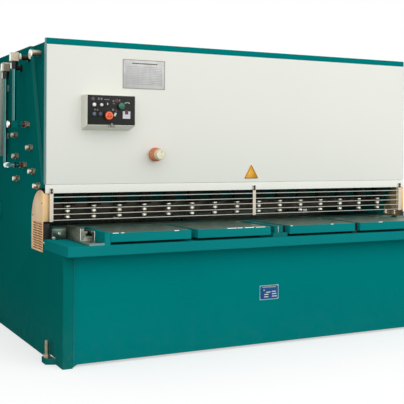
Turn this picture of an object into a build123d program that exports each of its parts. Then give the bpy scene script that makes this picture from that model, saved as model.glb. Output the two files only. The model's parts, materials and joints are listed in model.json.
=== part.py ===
from build123d import *
import math
import os

# Hydraulic swing beam shear: two side plates carry a fixed bed with a table, a sheet-metal front
# with a row of hold-downs, and a box beam that swings about a shaft at the back and carries
# the upper blade. X runs along the blades, Y runs from the front to the back, Z is up.
# The origin is on the floor, in the middle of the machine. All sizes are in millimetres.

os.makedirs("parts", exist_ok=True)

# Side plates
machine_width = 3260.0
side_thick = 70.0
side_depth = 1950.0
side_height = 2229.0
throat_depth = 720.0
throat_corner = 90.0
jaw_front = 497.0
jaw_bottom = 1180.0
jaw_rise = 250.0
top_front = 832.0

# Bed and table
bed_top = 750.0
apron_setback = 20.0
apron_thick = 25.0
apron_lift = 19.0
apron_foot = 40.0
lip_reach = 100.0
lip_depth = 540.0
lip_thick = 70.0
lip_chamfer = 4.0
block_gap = 18.0
block_thick = 62.0
block_chamfer = 3.0
block_overhang = 5.0
block_back = 425.0
pad_inset = 40.0
pad_depth = 300.0
block_length = 598.0
block_slot = 52.0
center_slot = 166.0
guide_gap = 3.0
guide_wide = 41.0
guide_long = 300.0
guide_high = 84.0

# Blades
blade_line = 640.0
blade_side_gap = 60.0
blade_wide = 80.0
blade_thick = 24.0
blade_gap = 1.0
blade_low = 938.0
blade_rake_rise = 45.0
seat_beam_drop = 90.0
bed_web_thick = 60.0
bed_web_bottom = 330.0

# Front cover, press beam and top rail
cover_setback = 450.0
cover_sheet = 8.0
press_nose = 63.0
nose_gap = 2.0
cover_inset = 11.0
rail_drop = 24.0
rail_high = 44.0
rail_depth = 34.0
rail_sheet = 8.0
press_bottom = 1144.0
press_high = 326.0
press_back = 518.0
cheek_sheet = 6.0
cheek_edge = 28.0

# Hold-downs
hold_count = 15
hold_pitch = 203.0
hold_line = 560.0
hold_body_radius = 42.0
hold_body_bottom = 1050.0
hold_body_top = 1300.0
hold_rod_radius = 17.0
hold_foot_radius = 31.0
hold_foot_thick = 24.0
hold_foot_level = 950.0
hold_engage = 90.0
hold_bore_end = 20.0
rod_play = 0.1

# Finger guard
wire_count = 5
wire_radius = 4.0
wire_pitch = 41.0
wire_low = 951.0
hanger_tail = 10.0
hanger_wide = 28.0
hanger_thick = 8.0
hanger_top = 1180.0
hanger_inset = 54.0
center_hanger = 94.0
guard_end_wide = 78.0
guard_sheet = 4.0
guard_back = 748.0
guard_front = 461.0
guard_bottom = 726.0
guard_top = 1154.0
guard_fill = 943.0
louvre_pitch = 18.0
louvre_height = 8.0
louvre_long = 92.0
louvre_apart = 116.0
louvre_rows = 11

# Swing beam
pivot_inset = 230.0
pivot_height = 950.0
pivot_radius = 60.0
hub_radius = 115.0
arm_thick = 70.0
arm_gap = 12.0
carrier_front = blade_line + blade_gap + blade_thick
carrier_thick = 60.0
carrier_bottom = 990.0
beam_top = 1450.0
beam_wall = 28.0
beam_shoulder = 160.0
beam_lean = 50.0
beam_flat = 150.0
beam_tail = 90.0
beam_tail_high = 70.0
beam_slant_wall = 36.0
arm_front = 20.0
arm_lean = 60.0
arm_flat = 130.0
arm_toe = 200.0
arm_heel = 60.0

# Main cylinders
ram_depth = 760.0
ram_inset = 104.0
ram_radius = 45.0
ram_gap = 1.0
ram_tip = 12.0
ram_taper = 14.0
cylinder_radius = 84.0
cylinder_bottom = 1560.0
cylinder_long = 460.0
cylinder_flange = 102.0
cylinder_cap = 36.0
ram_engage = 200.0

# Control box
box_left = -1355.0
box_wide = 371.0
box_low = 1597.0
box_high = 1850.0
box_reach = 118.0
box_slope = 33.0
panel_margin = 9.0
panel_thick = 3.0

# Controls on the panel, measured from the panel's left edge and its top edge
lamp_radius = 15.0
white_lamp_place = 44.0
cream_lamp_place = 99.0
key_place = 151.0
mushroom_place = 258.0
slate_place = 41.0
blue_place = 93.0
selector_place = 205.0
meter_place = 292.0
button_radius = 19.0
estop_place = 148.0
estop_radius = 31.0
estop_head = 16.0
estop_rim = 10.0
estop_crown = 24.0
estop_travel = 6.0
estop_rest_gap = 0.5
estop_stem_radius = 12.0
estop_collar_radius = 19.0
mushroom_radius = 23.0
control_stand = 14.0
meter_wide = 66.0
meter_high = 60.0
meter_stand = 6.0
upper_row = 74.0
lower_row = 141.0

# Dial
dial_x = -784.0
dial_z = 1422.0
dial_radius = 53.0
dial_length = 146.0
dial_stem_radius = 20.0
dial_stem = 22.0
dial_drum = 50.0
dial_neck_radius = 46.0
dial_neck = 28.0
dial_cap_radius = 38.0
dial_teeth = 12
dial_groove = 3.0

# Tank, pump and shelf at the back
shelf_inset = 50.0
shelf_deep = 720.0
shelf_level = 1640.0
shelf_sheet = 16.0
shelf_flange = 110.0
tank_left = -1150.0
tank_long = 1300.0
tank_wide = 560.0
tank_high = 400.0
tank_lid = 14.0
tank_lid_lip = 18.0
motor_x = 560.0
motor_radius = 125.0
motor_long = 380.0
motor_foot = 60.0
pump_radius = 62.0
pump_long = 150.0
valve_x = 1080.0
valve_long = 300.0
valve_wide = 200.0
valve_high = 180.0
valve_coil = 28.0

# Lower tie, chute and back gauge
tie_size = 160.0
tie_wall = 14.0
tie_level = 260.0
chute_top = 640.0
chute_low = 260.0
chute_sheet = 8.0
gauge_arm_x = 900.0
gauge_arm_wide = 60.0
gauge_arm_high = 50.0
gauge_arm_front = 900.0
gauge_arm_long = 500.0
gauge_line = 1120.0
gauge_bar = 26.0
gauge_dip = 60.0
gauge_end_gap = 60.0
rear_guard_low = 640.0
rear_guard_sheet = 4.0
rear_guard_fold = 30.0
rear_guard_gap = 2.0

# Feet
lug_reach = 64.0
lug_height = 40.0
lug_front = 150.0
lug_rear_inset = 250.0
lug_long = 147.0
jack_radius = 14.0
jack_height = 156.0
jack_line = 38.0
nut_radius = 24.0
nut_high = 22.0
lug_clip = 30.0

# Places that follow from the sizes above
half_width = machine_width / 2
inner_half = half_width - side_thick
front_edge = -(side_depth - lip_reach) / 2
lip_top = bed_top + lip_thick
work_level = lip_top + block_gap + block_thick
seat_front = lip_depth - lip_reach
first_center = center_slot / 2 + block_length / 2
second_center = first_center + block_length + block_slot
first_block_left = -second_center - block_length / 2
blade_half = inner_half - blade_side_gap
cover_half = half_width - cover_inset
cover_bottom = press_bottom + press_nose
cover_back = cover_setback + cover_sheet
rail_bottom = side_height - rail_drop
rail_top = rail_bottom + rail_high
arm_outer = inner_half - arm_gap
arm_inner = arm_outer - arm_thick
pivot_depth = side_depth - pivot_inset
shelf_back = side_depth - shelf_inset
shelf_front = shelf_back - shelf_deep
lug_rear = side_depth - lug_rear_inset
tail_inside = pivot_depth - beam_tail - beam_wall


def deep(depth):
    """Y of a point that lies this far behind the front edge of the side plates."""
    return front_edge + depth


def facing(depth):
    """Plane that looks to the front, this far behind the front edge."""
    return Plane.XZ.offset(-deep(depth))


def across(x):
    """Plane square to the blades, with Y and Z as its own directions."""
    return Plane.YZ.offset(x)


def level(z):
    """Horizontal plane at this height."""
    return Plane.XY.offset(z)


def slope_depth(height):
    """How far back the sloping front edge of a side plate is at this height."""
    rise = (height - jaw_bottom) / (side_height - jaw_bottom)
    return jaw_front + rise * (top_front - jaw_front)


def finish(part, name):
    """Label a piece and write it."""
    part.label = name
    export_step(part, "parts/" + name + ".step")


# Side plates, each one thick plate with a throat behind the table
for name, sign in (("left_side_frame", -1), ("right_side_frame", 1)):
    with BuildPart() as side_frame:
        with BuildSketch(across(min(sign * inner_half, sign * half_width))):
            with BuildLine():
                lower = Polyline(
                    (deep(side_depth), 0),
                    (deep(0), 0),
                    (deep(0), bed_top),
                    (deep(throat_depth - throat_corner), bed_top),
                )
                corner = JernArc(lower @ 1, (1, 0), throat_corner, 90)
                wall = Line(corner @ 1, (deep(throat_depth), jaw_bottom - jaw_rise))
                jaw = TangentArc(wall @ 1, (deep(jaw_front), jaw_bottom), tangent=(0, 1))
                Polyline(
                    jaw @ 1,
                    (deep(top_front), side_height),
                    (deep(side_depth), side_height),
                    (deep(side_depth), 0),
                )
            make_face()
        extrude(amount=side_thick)
        with BuildSketch(across(min(sign * inner_half, sign * half_width))):
            with Locations((deep(pivot_depth), pivot_height)):
                Circle(pivot_radius + rod_play)
        extrude(amount=side_thick, mode=Mode.SUBTRACT)
    finish(side_frame.part, name)

# Front plate of the bed, set a little behind the side plates
with BuildPart() as bed_front_plate:
    with BuildSketch(facing(apron_setback + apron_thick)):
        with BuildLine():
            Polyline(
                (-inner_half, 0),
                (-inner_half, bed_top),
                (inner_half, bed_top),
                (inner_half, 0),
                (inner_half - apron_foot, apron_lift),
                (apron_foot - inner_half, apron_lift),
                close=True,
            )
        make_face()
    extrude(amount=apron_thick)
finish(bed_front_plate.part, "bed_front_plate")

# Table plate, lying on the bed and on the lower jaws of the side plates, with a guide bar on it
with BuildPart() as table_plate:
    with BuildSketch(across(-half_width)):
        with Locations((deep(-lip_reach), bed_top)):
            Rectangle(lip_depth, lip_thick, align=(Align.MIN, Align.MIN))
    extrude(amount=machine_width)
    front = table_plate.edges().filter_by(Axis.X).group_by(Axis.Y)[0]
    chamfer(front, lip_chamfer)
    with BuildSketch(level(lip_top)):
        with Locations((first_block_left - guide_gap, deep(block_overhang - lip_reach))):
            Rectangle(guide_wide, guide_long, align=(Align.MAX, Align.MIN))
    extrude(amount=guide_high)
finish(table_plate.part, "table_plate")

# Table blocks, each on two pads that leave a dark gap over the plate
block_centers = (-second_center, -first_center, first_center, second_center)
block_front = -lip_reach + block_overhang
for index, block_x in enumerate(block_centers):
    with BuildPart() as table_block:
        with BuildSketch(level(work_level - block_thick)):
            with Locations((block_x, deep(block_front))):
                Rectangle(block_length, block_back - block_front, align=(Align.CENTER, Align.MIN))
        extrude(amount=block_thick)
        top = table_block.edges().group_by(Axis.Z)[-1]
        chamfer(top, block_chamfer)
        with BuildSketch(level(work_level - block_thick)):
            with Locations((block_x, deep(block_back - pad_inset))):
                with GridLocations(block_length - 4 * pad_inset, 1, 2, 1):
                    Rectangle(2 * pad_inset, pad_depth, align=(Align.CENTER, Align.MAX))
        extrude(amount=-block_gap)
    finish(table_block.part, "table_block_" + str(index + 1))

# Blade seat beam at the back of the table, with its deep web
with BuildPart() as blade_seat_beam:
    with BuildSketch(across(-inner_half)):
        with BuildLine():
            Polyline(
                (deep(seat_front), work_level),
                (deep(blade_line), work_level),
                (deep(blade_line), bed_web_bottom),
                (deep(blade_line - bed_web_thick), bed_web_bottom),
                (deep(blade_line - bed_web_thick), bed_top - seat_beam_drop),
                (deep(seat_front), bed_top),
                close=True,
            )
        make_face()
    extrude(amount=2 * inner_half)
    with BuildSketch(across(-blade_half)):
        with Locations((deep(blade_line), work_level)):
            Rectangle(blade_thick, blade_wide, align=(Align.MAX, Align.MAX))
    extrude(amount=2 * blade_half, mode=Mode.SUBTRACT)
finish(blade_seat_beam.part, "blade_seat_beam")

with BuildPart() as lower_blade:
    with BuildSketch(across(-blade_half)):
        with Locations((deep(blade_line), work_level)):
            Rectangle(blade_thick, blade_wide, align=(Align.MAX, Align.MAX))
    extrude(amount=2 * blade_half)
finish(lower_blade.part, "lower_blade")

# Squaring arm at the left end: a T-slotted bar with a raised fence, on a longer base plate
arm_wide = 100.0
arm_base = 14.0
arm_base_rim = 6.0
arm_slot = 26.0
arm_slot_deep = 16.0
arm_tee = 46.0
arm_tee_high = 18.0
arm_set = 100.0
arm_side_gap = 1.0
arm_drop = 2.0
fence_wide = 24.0
fence_rise = 20.0
arm_right = first_block_left - guide_gap - guide_wide - arm_side_gap
arm_top = work_level - arm_drop
with BuildPart() as squaring_arm:
    with BuildSketch(facing(block_back)):
        with Locations((arm_right, lip_top)):
            Rectangle(arm_wide, arm_top - lip_top, align=(Align.MAX, Align.MIN))
        with Locations((arm_right - arm_wide, lip_top)):
            Rectangle(fence_wide, arm_top + fence_rise - lip_top, align=(Align.MIN, Align.MIN))
        with Locations((arm_right - (arm_wide - fence_wide) / 2, arm_top)):
            Rectangle(arm_slot, arm_slot_deep, align=(Align.CENTER, Align.MAX), mode=Mode.SUBTRACT)
        with Locations((arm_right - (arm_wide - fence_wide) / 2, arm_top - arm_slot_deep)):
            Rectangle(arm_tee, arm_tee_high, align=(Align.CENTER, Align.MAX), mode=Mode.SUBTRACT)
    extrude(amount=block_back - arm_set)
    with BuildSketch(level(lip_top)):
        with Locations((arm_right, deep(block_front))):
            Rectangle(
                arm_wide + arm_base_rim,
                block_back - block_front,
                align=(Align.MAX, Align.MIN),
            )
    extrude(amount=arm_base)
finish(squaring_arm.part, "squaring_arm")

# Middle support arm: a narrower bar on a broad base, between the inner blocks
rest_base_wide = 124.0
rest_base_high = 30.0
rest_wide = 72.0
rest_set = 25.0
with BuildPart() as center_arm:
    with BuildSketch(facing(block_back)):
        with Locations((0, lip_top)):
            Rectangle(rest_base_wide, rest_base_high, align=(Align.CENTER, Align.MIN))
    extrude(amount=block_back - block_front)
    with BuildSketch(facing(block_back)):
        with Locations((0, lip_top)):
            Rectangle(rest_wide, arm_top - lip_top, align=(Align.CENTER, Align.MIN))
    extrude(amount=block_back - block_front - rest_set)
finish(center_arm.part, "center_arm")

# Machined seats at the two ends of the table, against the blade seat beam
seat_block_long = 60.0
seat_block_wide = 100.0
seat_block_inset = 42.0
with BuildPart() as end_seats:
    with BuildSketch(level(lip_top)):
        for sign in (-1, 1):
            with Locations((sign * (half_width - seat_block_inset), deep(seat_front))):
                Rectangle(
                    seat_block_wide,
                    seat_block_long,
                    align=(Align.MIN if sign < 0 else Align.MAX, Align.MAX),
                )
    extrude(amount=arm_top - lip_top)
finish(end_seats.part, "end_seats")

# Front cover of sheet metal with returned edges
return_deep = 34.0
with BuildPart() as front_cover:
    with BuildSketch(facing(cover_back)):
        with Locations((0, (cover_bottom + rail_bottom) / 2)):
            Rectangle(2 * cover_half, rail_bottom - cover_bottom)
    extrude(amount=cover_sheet)
    with BuildSketch(facing(cover_back + return_deep)):
        for sign in (-1, 1):
            with Locations((sign * (cover_half - cover_sheet / 2), (cover_bottom + rail_bottom) / 2)):
                Rectangle(cover_sheet, rail_bottom - cover_bottom)
    extrude(amount=return_deep)
finish(front_cover.part, "front_cover")

# Press beam behind the cover: its nose shows as the pale strip under the cover
with BuildPart() as press_beam:
    with BuildSketch(across(-cover_half)):
        with BuildLine():
            Polyline(
                (deep(cover_setback), press_bottom),
                (deep(cover_setback), cover_bottom - nose_gap),
                (deep(cover_back), cover_bottom - nose_gap),
                (deep(cover_back), press_bottom + press_high),
                (deep(press_back), press_bottom + press_high),
                (deep(press_back), press_bottom),
                close=True,
            )
        make_face()
    extrude(amount=2 * cover_half)
    for sign in (-1, 1):
        with BuildSketch(across(min(sign * inner_half, sign * half_width))):
            with Locations((deep(cover_back), press_bottom)):
                Rectangle(press_back - cover_back, press_high, align=(Align.MIN, Align.MIN))
        extrude(amount=side_thick, mode=Mode.SUBTRACT)
finish(press_beam.part, "press_beam")

# Top rail: a folded channel along the top of the cover, reaching back over the side plates
with BuildPart() as top_rail:
    with BuildSketch(across(-cover_half)):
        with Locations((deep(cover_setback), rail_bottom)):
            Rectangle(rail_depth, rail_top - rail_bottom, align=(Align.MIN, Align.MIN))
        with Locations((deep(cover_setback + rail_sheet), rail_bottom)):
            Rectangle(
                rail_depth,
                rail_top - rail_bottom - rail_sheet,
                align=(Align.MIN, Align.MIN),
                mode=Mode.SUBTRACT,
            )
    extrude(amount=2 * cover_half)
finish(top_rail.part, "top_rail")

# Cheeks that close the cover's ends down to the sloping edges of the side plates
for name, sign in (("left_cover_cheek", -1), ("right_cover_cheek", 1)):
    cheek_outer = sign * (half_width - cheek_edge)
    with BuildPart() as cheek:
        with BuildSketch(across(min(cheek_outer, cheek_outer - sign * cheek_sheet))):
            with BuildLine():
                Polyline(
                    (deep(cover_back), cover_bottom),
                    (deep(cover_back), side_height),
                    (deep(slope_depth(side_height)), side_height),
                    (deep(slope_depth(cover_bottom)), cover_bottom),
                    close=True,
                )
            make_face()
        extrude(amount=cheek_sheet)
    finish(cheek.part, name)

# Hold-down cylinders along the back of the press beam, bored for their rods
hold_xs = [(index - (hold_count - 1) / 2) * hold_pitch for index in range(hold_count)]
with BuildPart() as hold_down_cylinders:
    with BuildSketch(level(hold_body_bottom)):
        for x in hold_xs:
            with Locations((x, deep(hold_line))):
                Circle(hold_body_radius)
                Rectangle(
                    2 * hold_body_radius,
                    hold_line - press_back,
                    align=(Align.CENTER, Align.MAX),
                )
    extrude(amount=hold_body_top - hold_body_bottom)
    with BuildSketch(level(hold_body_bottom)):
        for x in hold_xs:
            with Locations((x, deep(hold_line))):
                Circle(hold_rod_radius + rod_play)
    extrude(amount=hold_engage + hold_bore_end, mode=Mode.SUBTRACT)
finish(hold_down_cylinders.part, "hold_down_cylinders")

# Hold-down feet on their rods
with BuildPart() as hold_down_feet:
    with BuildSketch(level(hold_foot_level)):
        for x in hold_xs:
            with Locations((x, deep(hold_line))):
                Circle(hold_foot_radius)
    extrude(amount=hold_foot_thick)
    with BuildSketch(level(hold_foot_level + hold_foot_thick)):
        for x in hold_xs:
            with Locations((x, deep(hold_line))):
                Circle(hold_rod_radius)
    extrude(amount=hold_body_bottom + hold_engage - hold_foot_level - hold_foot_thick)
finish(hold_down_feet.part, "hold_down_feet")

# Finger guard: five wires on flat hangers
hanger_x = half_width - hanger_inset
with BuildPart() as finger_guard:
    for index in range(wire_count):
        with BuildSketch(across(-hanger_x)):
            with Locations((deep(cover_setback - wire_radius), wire_low + index * wire_pitch)):
                RegularPolygon(wire_radius, 8)
        extrude(amount=2 * hanger_x)
    with BuildSketch(facing(cover_setback)):
        for x in (-hanger_x, center_hanger, hanger_x):
            with Locations((x, wire_low - hanger_tail)):
                Rectangle(
                    hanger_wide,
                    hanger_top - wire_low + hanger_tail,
                    align=(Align.CENTER, Align.MIN),
                )
    extrude(amount=hanger_thick)
finish(finger_guard.part, "finger_guard")

# Throat guards: louvred sheet over each throat, folded round to the front
for name, sign in (("left_throat_guard", -1), ("right_throat_guard", 1)):
    outer = sign * half_width
    with BuildPart() as throat_guard:
        with BuildSketch(across(min(outer, outer + sign * guard_sheet))):
            with BuildLine():
                base = Polyline(
                    (deep(guard_front), guard_top),
                    (deep(guard_front), guard_bottom),
                    (deep(guard_back), guard_bottom),
                    (deep(guard_back), guard_fill),
                )
                TangentArc(base @ 1, (deep(guard_front), guard_top), tangent=(0, 1))
            make_face()
            with Locations((deep((guard_front + guard_back) / 2), (guard_bottom + guard_fill) / 2)):
                with GridLocations(louvre_apart, louvre_pitch, 2, louvre_rows):
                    Rectangle(louvre_long, louvre_height, mode=Mode.SUBTRACT)
        extrude(amount=guard_sheet)
        with BuildSketch(level(guard_fill)):
            with Locations((outer + sign * guard_sheet, deep(guard_front))):
                Rectangle(
                    guard_end_wide,
                    guard_sheet,
                    align=(Align.MIN if sign < 0 else Align.MAX, Align.MIN),
                )
        extrude(amount=press_bottom - guard_fill)
    finish(throat_guard.part, name)

# Swing beam: blade carrier, box section, end arms and hubs on the rear shafts
with BuildPart() as swing_beam:
    with BuildSketch(across(-arm_outer)):
        with BuildLine():
            Polyline(
                (deep(carrier_front), carrier_bottom),
                (deep(carrier_front), carrier_bottom + beam_shoulder),
                (deep(carrier_front + beam_lean), beam_top),
                (deep(carrier_front + beam_lean + beam_flat), beam_top),
                (deep(pivot_depth - beam_tail), carrier_bottom + beam_tail_high),
                (deep(pivot_depth - beam_tail), carrier_bottom),
                close=True,
            )
        make_face()
    extrude(amount=2 * arm_outer)
    with BuildSketch(across(-arm_outer)):
        with BuildLine():
            Polyline(
                (deep(carrier_front + carrier_thick), carrier_bottom + beam_wall),
                (deep(carrier_front + carrier_thick), carrier_bottom + beam_shoulder),
                (deep(carrier_front + carrier_thick + beam_lean), beam_top - beam_wall),
                (deep(carrier_front + beam_flat + beam_wall), beam_top - beam_wall),
                (deep(tail_inside), carrier_bottom + beam_tail_high - beam_slant_wall),
                (deep(tail_inside), carrier_bottom + beam_wall),
                close=True,
            )
        make_face()
    extrude(amount=2 * arm_outer, mode=Mode.SUBTRACT)
    for sign in (-1, 1):
        arm_start = min(sign * arm_outer, sign * arm_inner)
        with BuildSketch(across(arm_start)):
            with BuildLine():
                Polyline(
                    (deep(carrier_front + arm_front), carrier_bottom),
                    (deep(carrier_front + arm_lean), beam_top),
                    (deep(carrier_front + arm_lean + arm_flat), beam_top),
                    (deep(pivot_depth), pivot_height + hub_radius),
                    (deep(pivot_depth), pivot_height - arm_heel),
                    (deep(pivot_depth - arm_toe), carrier_bottom),
                    close=True,
                )
            make_face()
            with Locations((deep(pivot_depth), pivot_height)):
                Circle(hub_radius)
        extrude(amount=arm_thick)
        with BuildSketch(across(arm_start)):
            with Locations((deep(pivot_depth), pivot_height)):
                Circle(pivot_radius + rod_play)
        extrude(amount=arm_thick, mode=Mode.SUBTRACT)
finish(swing_beam.part, "swing_beam")

# Upper blade, raked so that it cuts from one end to the other
with BuildPart() as upper_blade:
    with BuildSketch(facing(blade_line + blade_gap + blade_thick)):
        with BuildLine():
            Polyline(
                (-blade_half, blade_low),
                (blade_half, blade_low + blade_rake_rise),
                (blade_half, blade_low + blade_rake_rise + blade_wide),
                (-blade_half, blade_low + blade_rake_rise + blade_wide),
                close=True,
            )
        make_face()
    extrude(amount=blade_thick)
finish(upper_blade.part, "upper_blade")

# Shafts that the beam swings on, fixed in the side plates
shaft_long = half_width - arm_inner
with BuildPart() as pivot_shafts:
    for sign in (-1, 1):
        with BuildSketch(across(min(sign * half_width, sign * (half_width - shaft_long)))):
            with Locations((deep(pivot_depth), pivot_height)):
                Circle(pivot_radius)
        extrude(amount=shaft_long)
finish(pivot_shafts.part, "pivot_shafts")

# Main cylinders bolted to the side plates, and their rams over the beam's ends
ram_x = inner_half - ram_inset
for side, sign in (("left", -1), ("right", 1)):
    with BuildPart() as cylinder:
        with BuildSketch(level(cylinder_bottom)):
            with Locations((sign * ram_x, deep(ram_depth))):
                Circle(cylinder_radius)
                Rectangle(
                    ram_inset,
                    1.6 * cylinder_radius,
                    align=(Align.MIN if sign > 0 else Align.MAX, Align.CENTER),
                )
        extrude(amount=cylinder_long)
        for cap_level in (cylinder_bottom, cylinder_bottom + cylinder_long - cylinder_cap):
            with BuildSketch(level(cap_level)):
                with Locations((sign * ram_x, deep(ram_depth))):
                    Circle(cylinder_flange)
            extrude(amount=cylinder_cap)
        with BuildSketch(level(cylinder_bottom)):
            with Locations((sign * ram_x, deep(ram_depth))):
                Circle(ram_radius + rod_play)
        extrude(amount=ram_engage + cylinder_cap, mode=Mode.SUBTRACT)
    finish(cylinder.part, side + "_cylinder")
    ram_foot = (sign * ram_x, deep(ram_depth), beam_top + ram_gap)
    ram_length = cylinder_bottom + ram_engage - beam_top - ram_gap
    with BuildPart() as ram:
        with BuildSketch(Plane(origin=ram_foot, x_dir=(1, 0, 0), z_dir=(0, -1, 0))):
            with BuildLine():
                Polyline(
                    (0, 0),
                    (ram_tip, 0),
                    (ram_radius, ram_taper),
                    (ram_radius, ram_length),
                    (0, ram_length),
                    close=True,
                )
            make_face()
        revolve(axis=Axis(ram_foot, (0, 0, 1)))
    finish(ram.part, side + "_ram")

# Control box with a front face that overhangs its sloping underside
with BuildPart() as control_box:
    with BuildSketch(across(box_left)):
        with BuildLine():
            Polyline(
                (deep(cover_setback), box_low),
                (deep(cover_setback), box_high),
                (deep(cover_setback - box_reach), box_high),
                (deep(cover_setback - box_reach), box_low + box_slope),
                close=True,
            )
        make_face()
    extrude(amount=box_wide)
finish(control_box.part, "control_box")

# Panel with lamps, buttons and switches
panel_left = box_left + panel_margin
panel_wide = box_wide - 2 * panel_margin
panel_low = box_low + box_slope + panel_margin
panel_high = box_high - panel_margin
panel_face = cover_setback - box_reach - panel_thick
with BuildPart() as control_panel:
    with BuildSketch(facing(cover_setback - box_reach)):
        with Locations((panel_left, panel_low)):
            Rectangle(panel_wide, panel_high - panel_low, align=(Align.MIN, Align.MIN))
    extrude(amount=panel_thick)
finish(control_panel.part, "control_panel")

upper_z = panel_high - upper_row
lower_z = panel_high - lower_row
estop_x = panel_left + estop_place
with BuildPart() as panel_controls:
    with BuildSketch(facing(panel_face)):
        for x in (white_lamp_place, cream_lamp_place):
            with Locations((panel_left + x, upper_z)):
                Circle(lamp_radius)
        with Locations((panel_left + key_place, upper_z)):
            Circle(button_radius)
        for x in (slate_place, blue_place, selector_place):
            with Locations((panel_left + x, lower_z)):
                Circle(button_radius)
        with Locations((panel_left + mushroom_place, upper_z)):
            Circle(mushroom_radius)
        with Locations((estop_x, lower_z)):
            Circle(estop_collar_radius)
            Circle(estop_stem_radius + rod_play, mode=Mode.SUBTRACT)
    extrude(amount=control_stand)
    with BuildSketch(facing(panel_face)):
        with Locations((panel_left + meter_place, lower_z)):
            Rectangle(meter_wide, meter_high)
    extrude(amount=meter_stand)
finish(panel_controls.part, "panel_controls")

# Stop button: a mushroom head whose stem slides in its collar
estop_back = panel_face - control_stand - estop_travel - estop_rest_gap
with BuildPart() as estop_button:
    with BuildSketch(facing(estop_back)):
        with Locations((estop_x, lower_z)):
            Circle(estop_radius)
    extrude(amount=estop_rim)
    with BuildSketch(facing(estop_back - estop_rim)):
        with Locations((estop_x, lower_z)):
            Circle(estop_crown)
    extrude(amount=estop_head - estop_rim)
    with BuildSketch(facing(panel_face - estop_travel - estop_rest_gap)):
        with Locations((estop_x, lower_z)):
            Circle(estop_stem_radius)
    extrude(amount=control_stand)
finish(estop_button.part, "estop_button")

# Framed instruction plate, left bare
plate_sheet = 3.0
notice_left = -1037.0
notice_drop = 101.0
notice_wide = 341.0
notice_high = 216.0
with BuildPart() as notice_plate:
    with BuildSketch(facing(cover_setback)):
        with Locations((notice_left, side_height - notice_drop)):
            Rectangle(notice_wide, notice_high, align=(Align.MIN, Align.MAX))
    extrude(amount=plate_sheet)
finish(notice_plate.part, "notice_plate")

# Rating plate on the bed, left bare
name_left = -109.0
name_low = 343.0
name_wide = 165.0
name_high = 108.0
with BuildPart() as name_plate:
    with BuildSketch(facing(apron_setback)):
        with Locations((name_left, name_low)):
            Rectangle(name_wide, name_high, align=(Align.MIN, Align.MIN))
    extrude(amount=plate_sheet)
finish(name_plate.part, "name_plate")

# Bare triangular plate
sign_side = 133.0
sign_x = 67.0
sign_z = 1272.0
sign_corner = 6.0
with BuildPart() as triangle_plate:
    with BuildSketch(facing(cover_setback)):
        with Locations((sign_x, sign_z)):
            outline = RegularPolygon(sign_side / math.sqrt(3), 3, rotation=90)
        fillet(outline.vertices(), sign_corner)
    extrude(amount=plate_sheet)
finish(triangle_plate.part, "triangle_plate")

# Dial on a stem in the cover: a ribbed drum, a plain step and a smaller smooth cap in front
with BuildPart() as dial_knob:
    with BuildSketch(facing(cover_setback - dial_stem)):
        with Locations((dial_x, dial_z)):
            Circle(dial_radius)
            with PolarLocations(dial_radius, dial_teeth):
                Rectangle(dial_groove, dial_groove, mode=Mode.SUBTRACT)
    extrude(amount=dial_drum)
    with BuildSketch(facing(cover_setback - dial_stem - dial_drum)):
        with Locations((dial_x, dial_z)):
            Circle(dial_neck_radius)
    extrude(amount=dial_neck)
    with BuildSketch(facing(cover_setback - dial_stem - dial_drum - dial_neck)):
        with Locations((dial_x, dial_z)):
            Circle(dial_cap_radius)
    extrude(amount=dial_length - dial_stem - dial_drum - dial_neck)
    with BuildSketch(facing(cover_setback)):
        with Locations((dial_x, dial_z)):
            Circle(dial_stem_radius)
    extrude(amount=dial_stem)
finish(dial_knob.part, "dial_knob")

# Feet: anchor lugs with levelling screws
foot_spots = [(sign, depth) for sign in (-1, 1) for depth in (lug_front, lug_rear)]
with BuildPart() as anchor_lugs:
    for sign, depth in foot_spots:
        with BuildSketch(level(0)):
            with BuildLine():
                Polyline(
                    (sign * half_width, deep(depth)),
                    (sign * (half_width + lug_reach), deep(depth + lug_clip)),
                    (sign * (half_width + lug_reach), deep(depth + lug_long - lug_clip)),
                    (sign * half_width, deep(depth + lug_long)),
                    close=True,
                )
            make_face()
        extrude(amount=lug_height)
finish(anchor_lugs.part, "anchor_lugs")

with BuildPart() as levelling_screws:
    with BuildSketch(level(lug_height)):
        for sign, depth in foot_spots:
            with Locations((sign * (half_width + jack_line), deep(depth + lug_long / 2))):
                Circle(jack_radius)
    extrude(amount=jack_height - lug_height)
    with BuildSketch(level(lug_height)):
        for sign, depth in foot_spots:
            with Locations((sign * (half_width + jack_line), deep(depth + lug_long / 2))):
                RegularPolygon(nut_radius, 6)
    extrude(amount=nut_high)
finish(levelling_screws.part, "levelling_screws")

# Hexagonal plugs with round necks on the outer faces, and a flanged pin on each cheek
plug_spots = ((1189, 1568), (761, 1469), (1156, 1404), (691, 1295), (1122, 1230), (560, 1193))
plug_hex = 25.0
plug_hex_long = 20.0
plug_neck = 19.0
plug_out = 48.0
pin_depth = 649.0
pin_drop = 72.0
pin_radius = 24.0
pin_flange = 35.0
pin_flange_long = 12.0
pin_length = 82.0
for side, sign in (("left", -1), ("right", 1)):
    face = sign * half_width
    cheek_face = sign * (half_width - cheek_edge)
    with BuildPart() as side_plugs:
        with BuildSketch(across(min(face, face + sign * plug_out))):
            for depth, height in plug_spots:
                with Locations((deep(depth), height)):
                    Circle(plug_neck)
        extrude(amount=plug_out)
        with BuildSketch(across(min(face, face + sign * plug_hex_long))):
            for depth, height in plug_spots:
                with Locations((deep(depth), height)):
                    RegularPolygon(plug_hex, 6)
        extrude(amount=plug_hex_long)
        with BuildSketch(across(min(cheek_face, cheek_face + sign * pin_length))):
            with Locations((deep(pin_depth), side_height - pin_drop)):
                Circle(pin_radius)
        extrude(amount=pin_length)
        pin_end = cheek_face + sign * pin_length
        with BuildSketch(across(min(pin_end, pin_end - sign * pin_flange_long))):
            with Locations((deep(pin_depth), side_height - pin_drop)):
                Circle(pin_flange)
        extrude(amount=pin_flange_long)
    finish(side_plugs.part, side + "_side_plugs")

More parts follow.
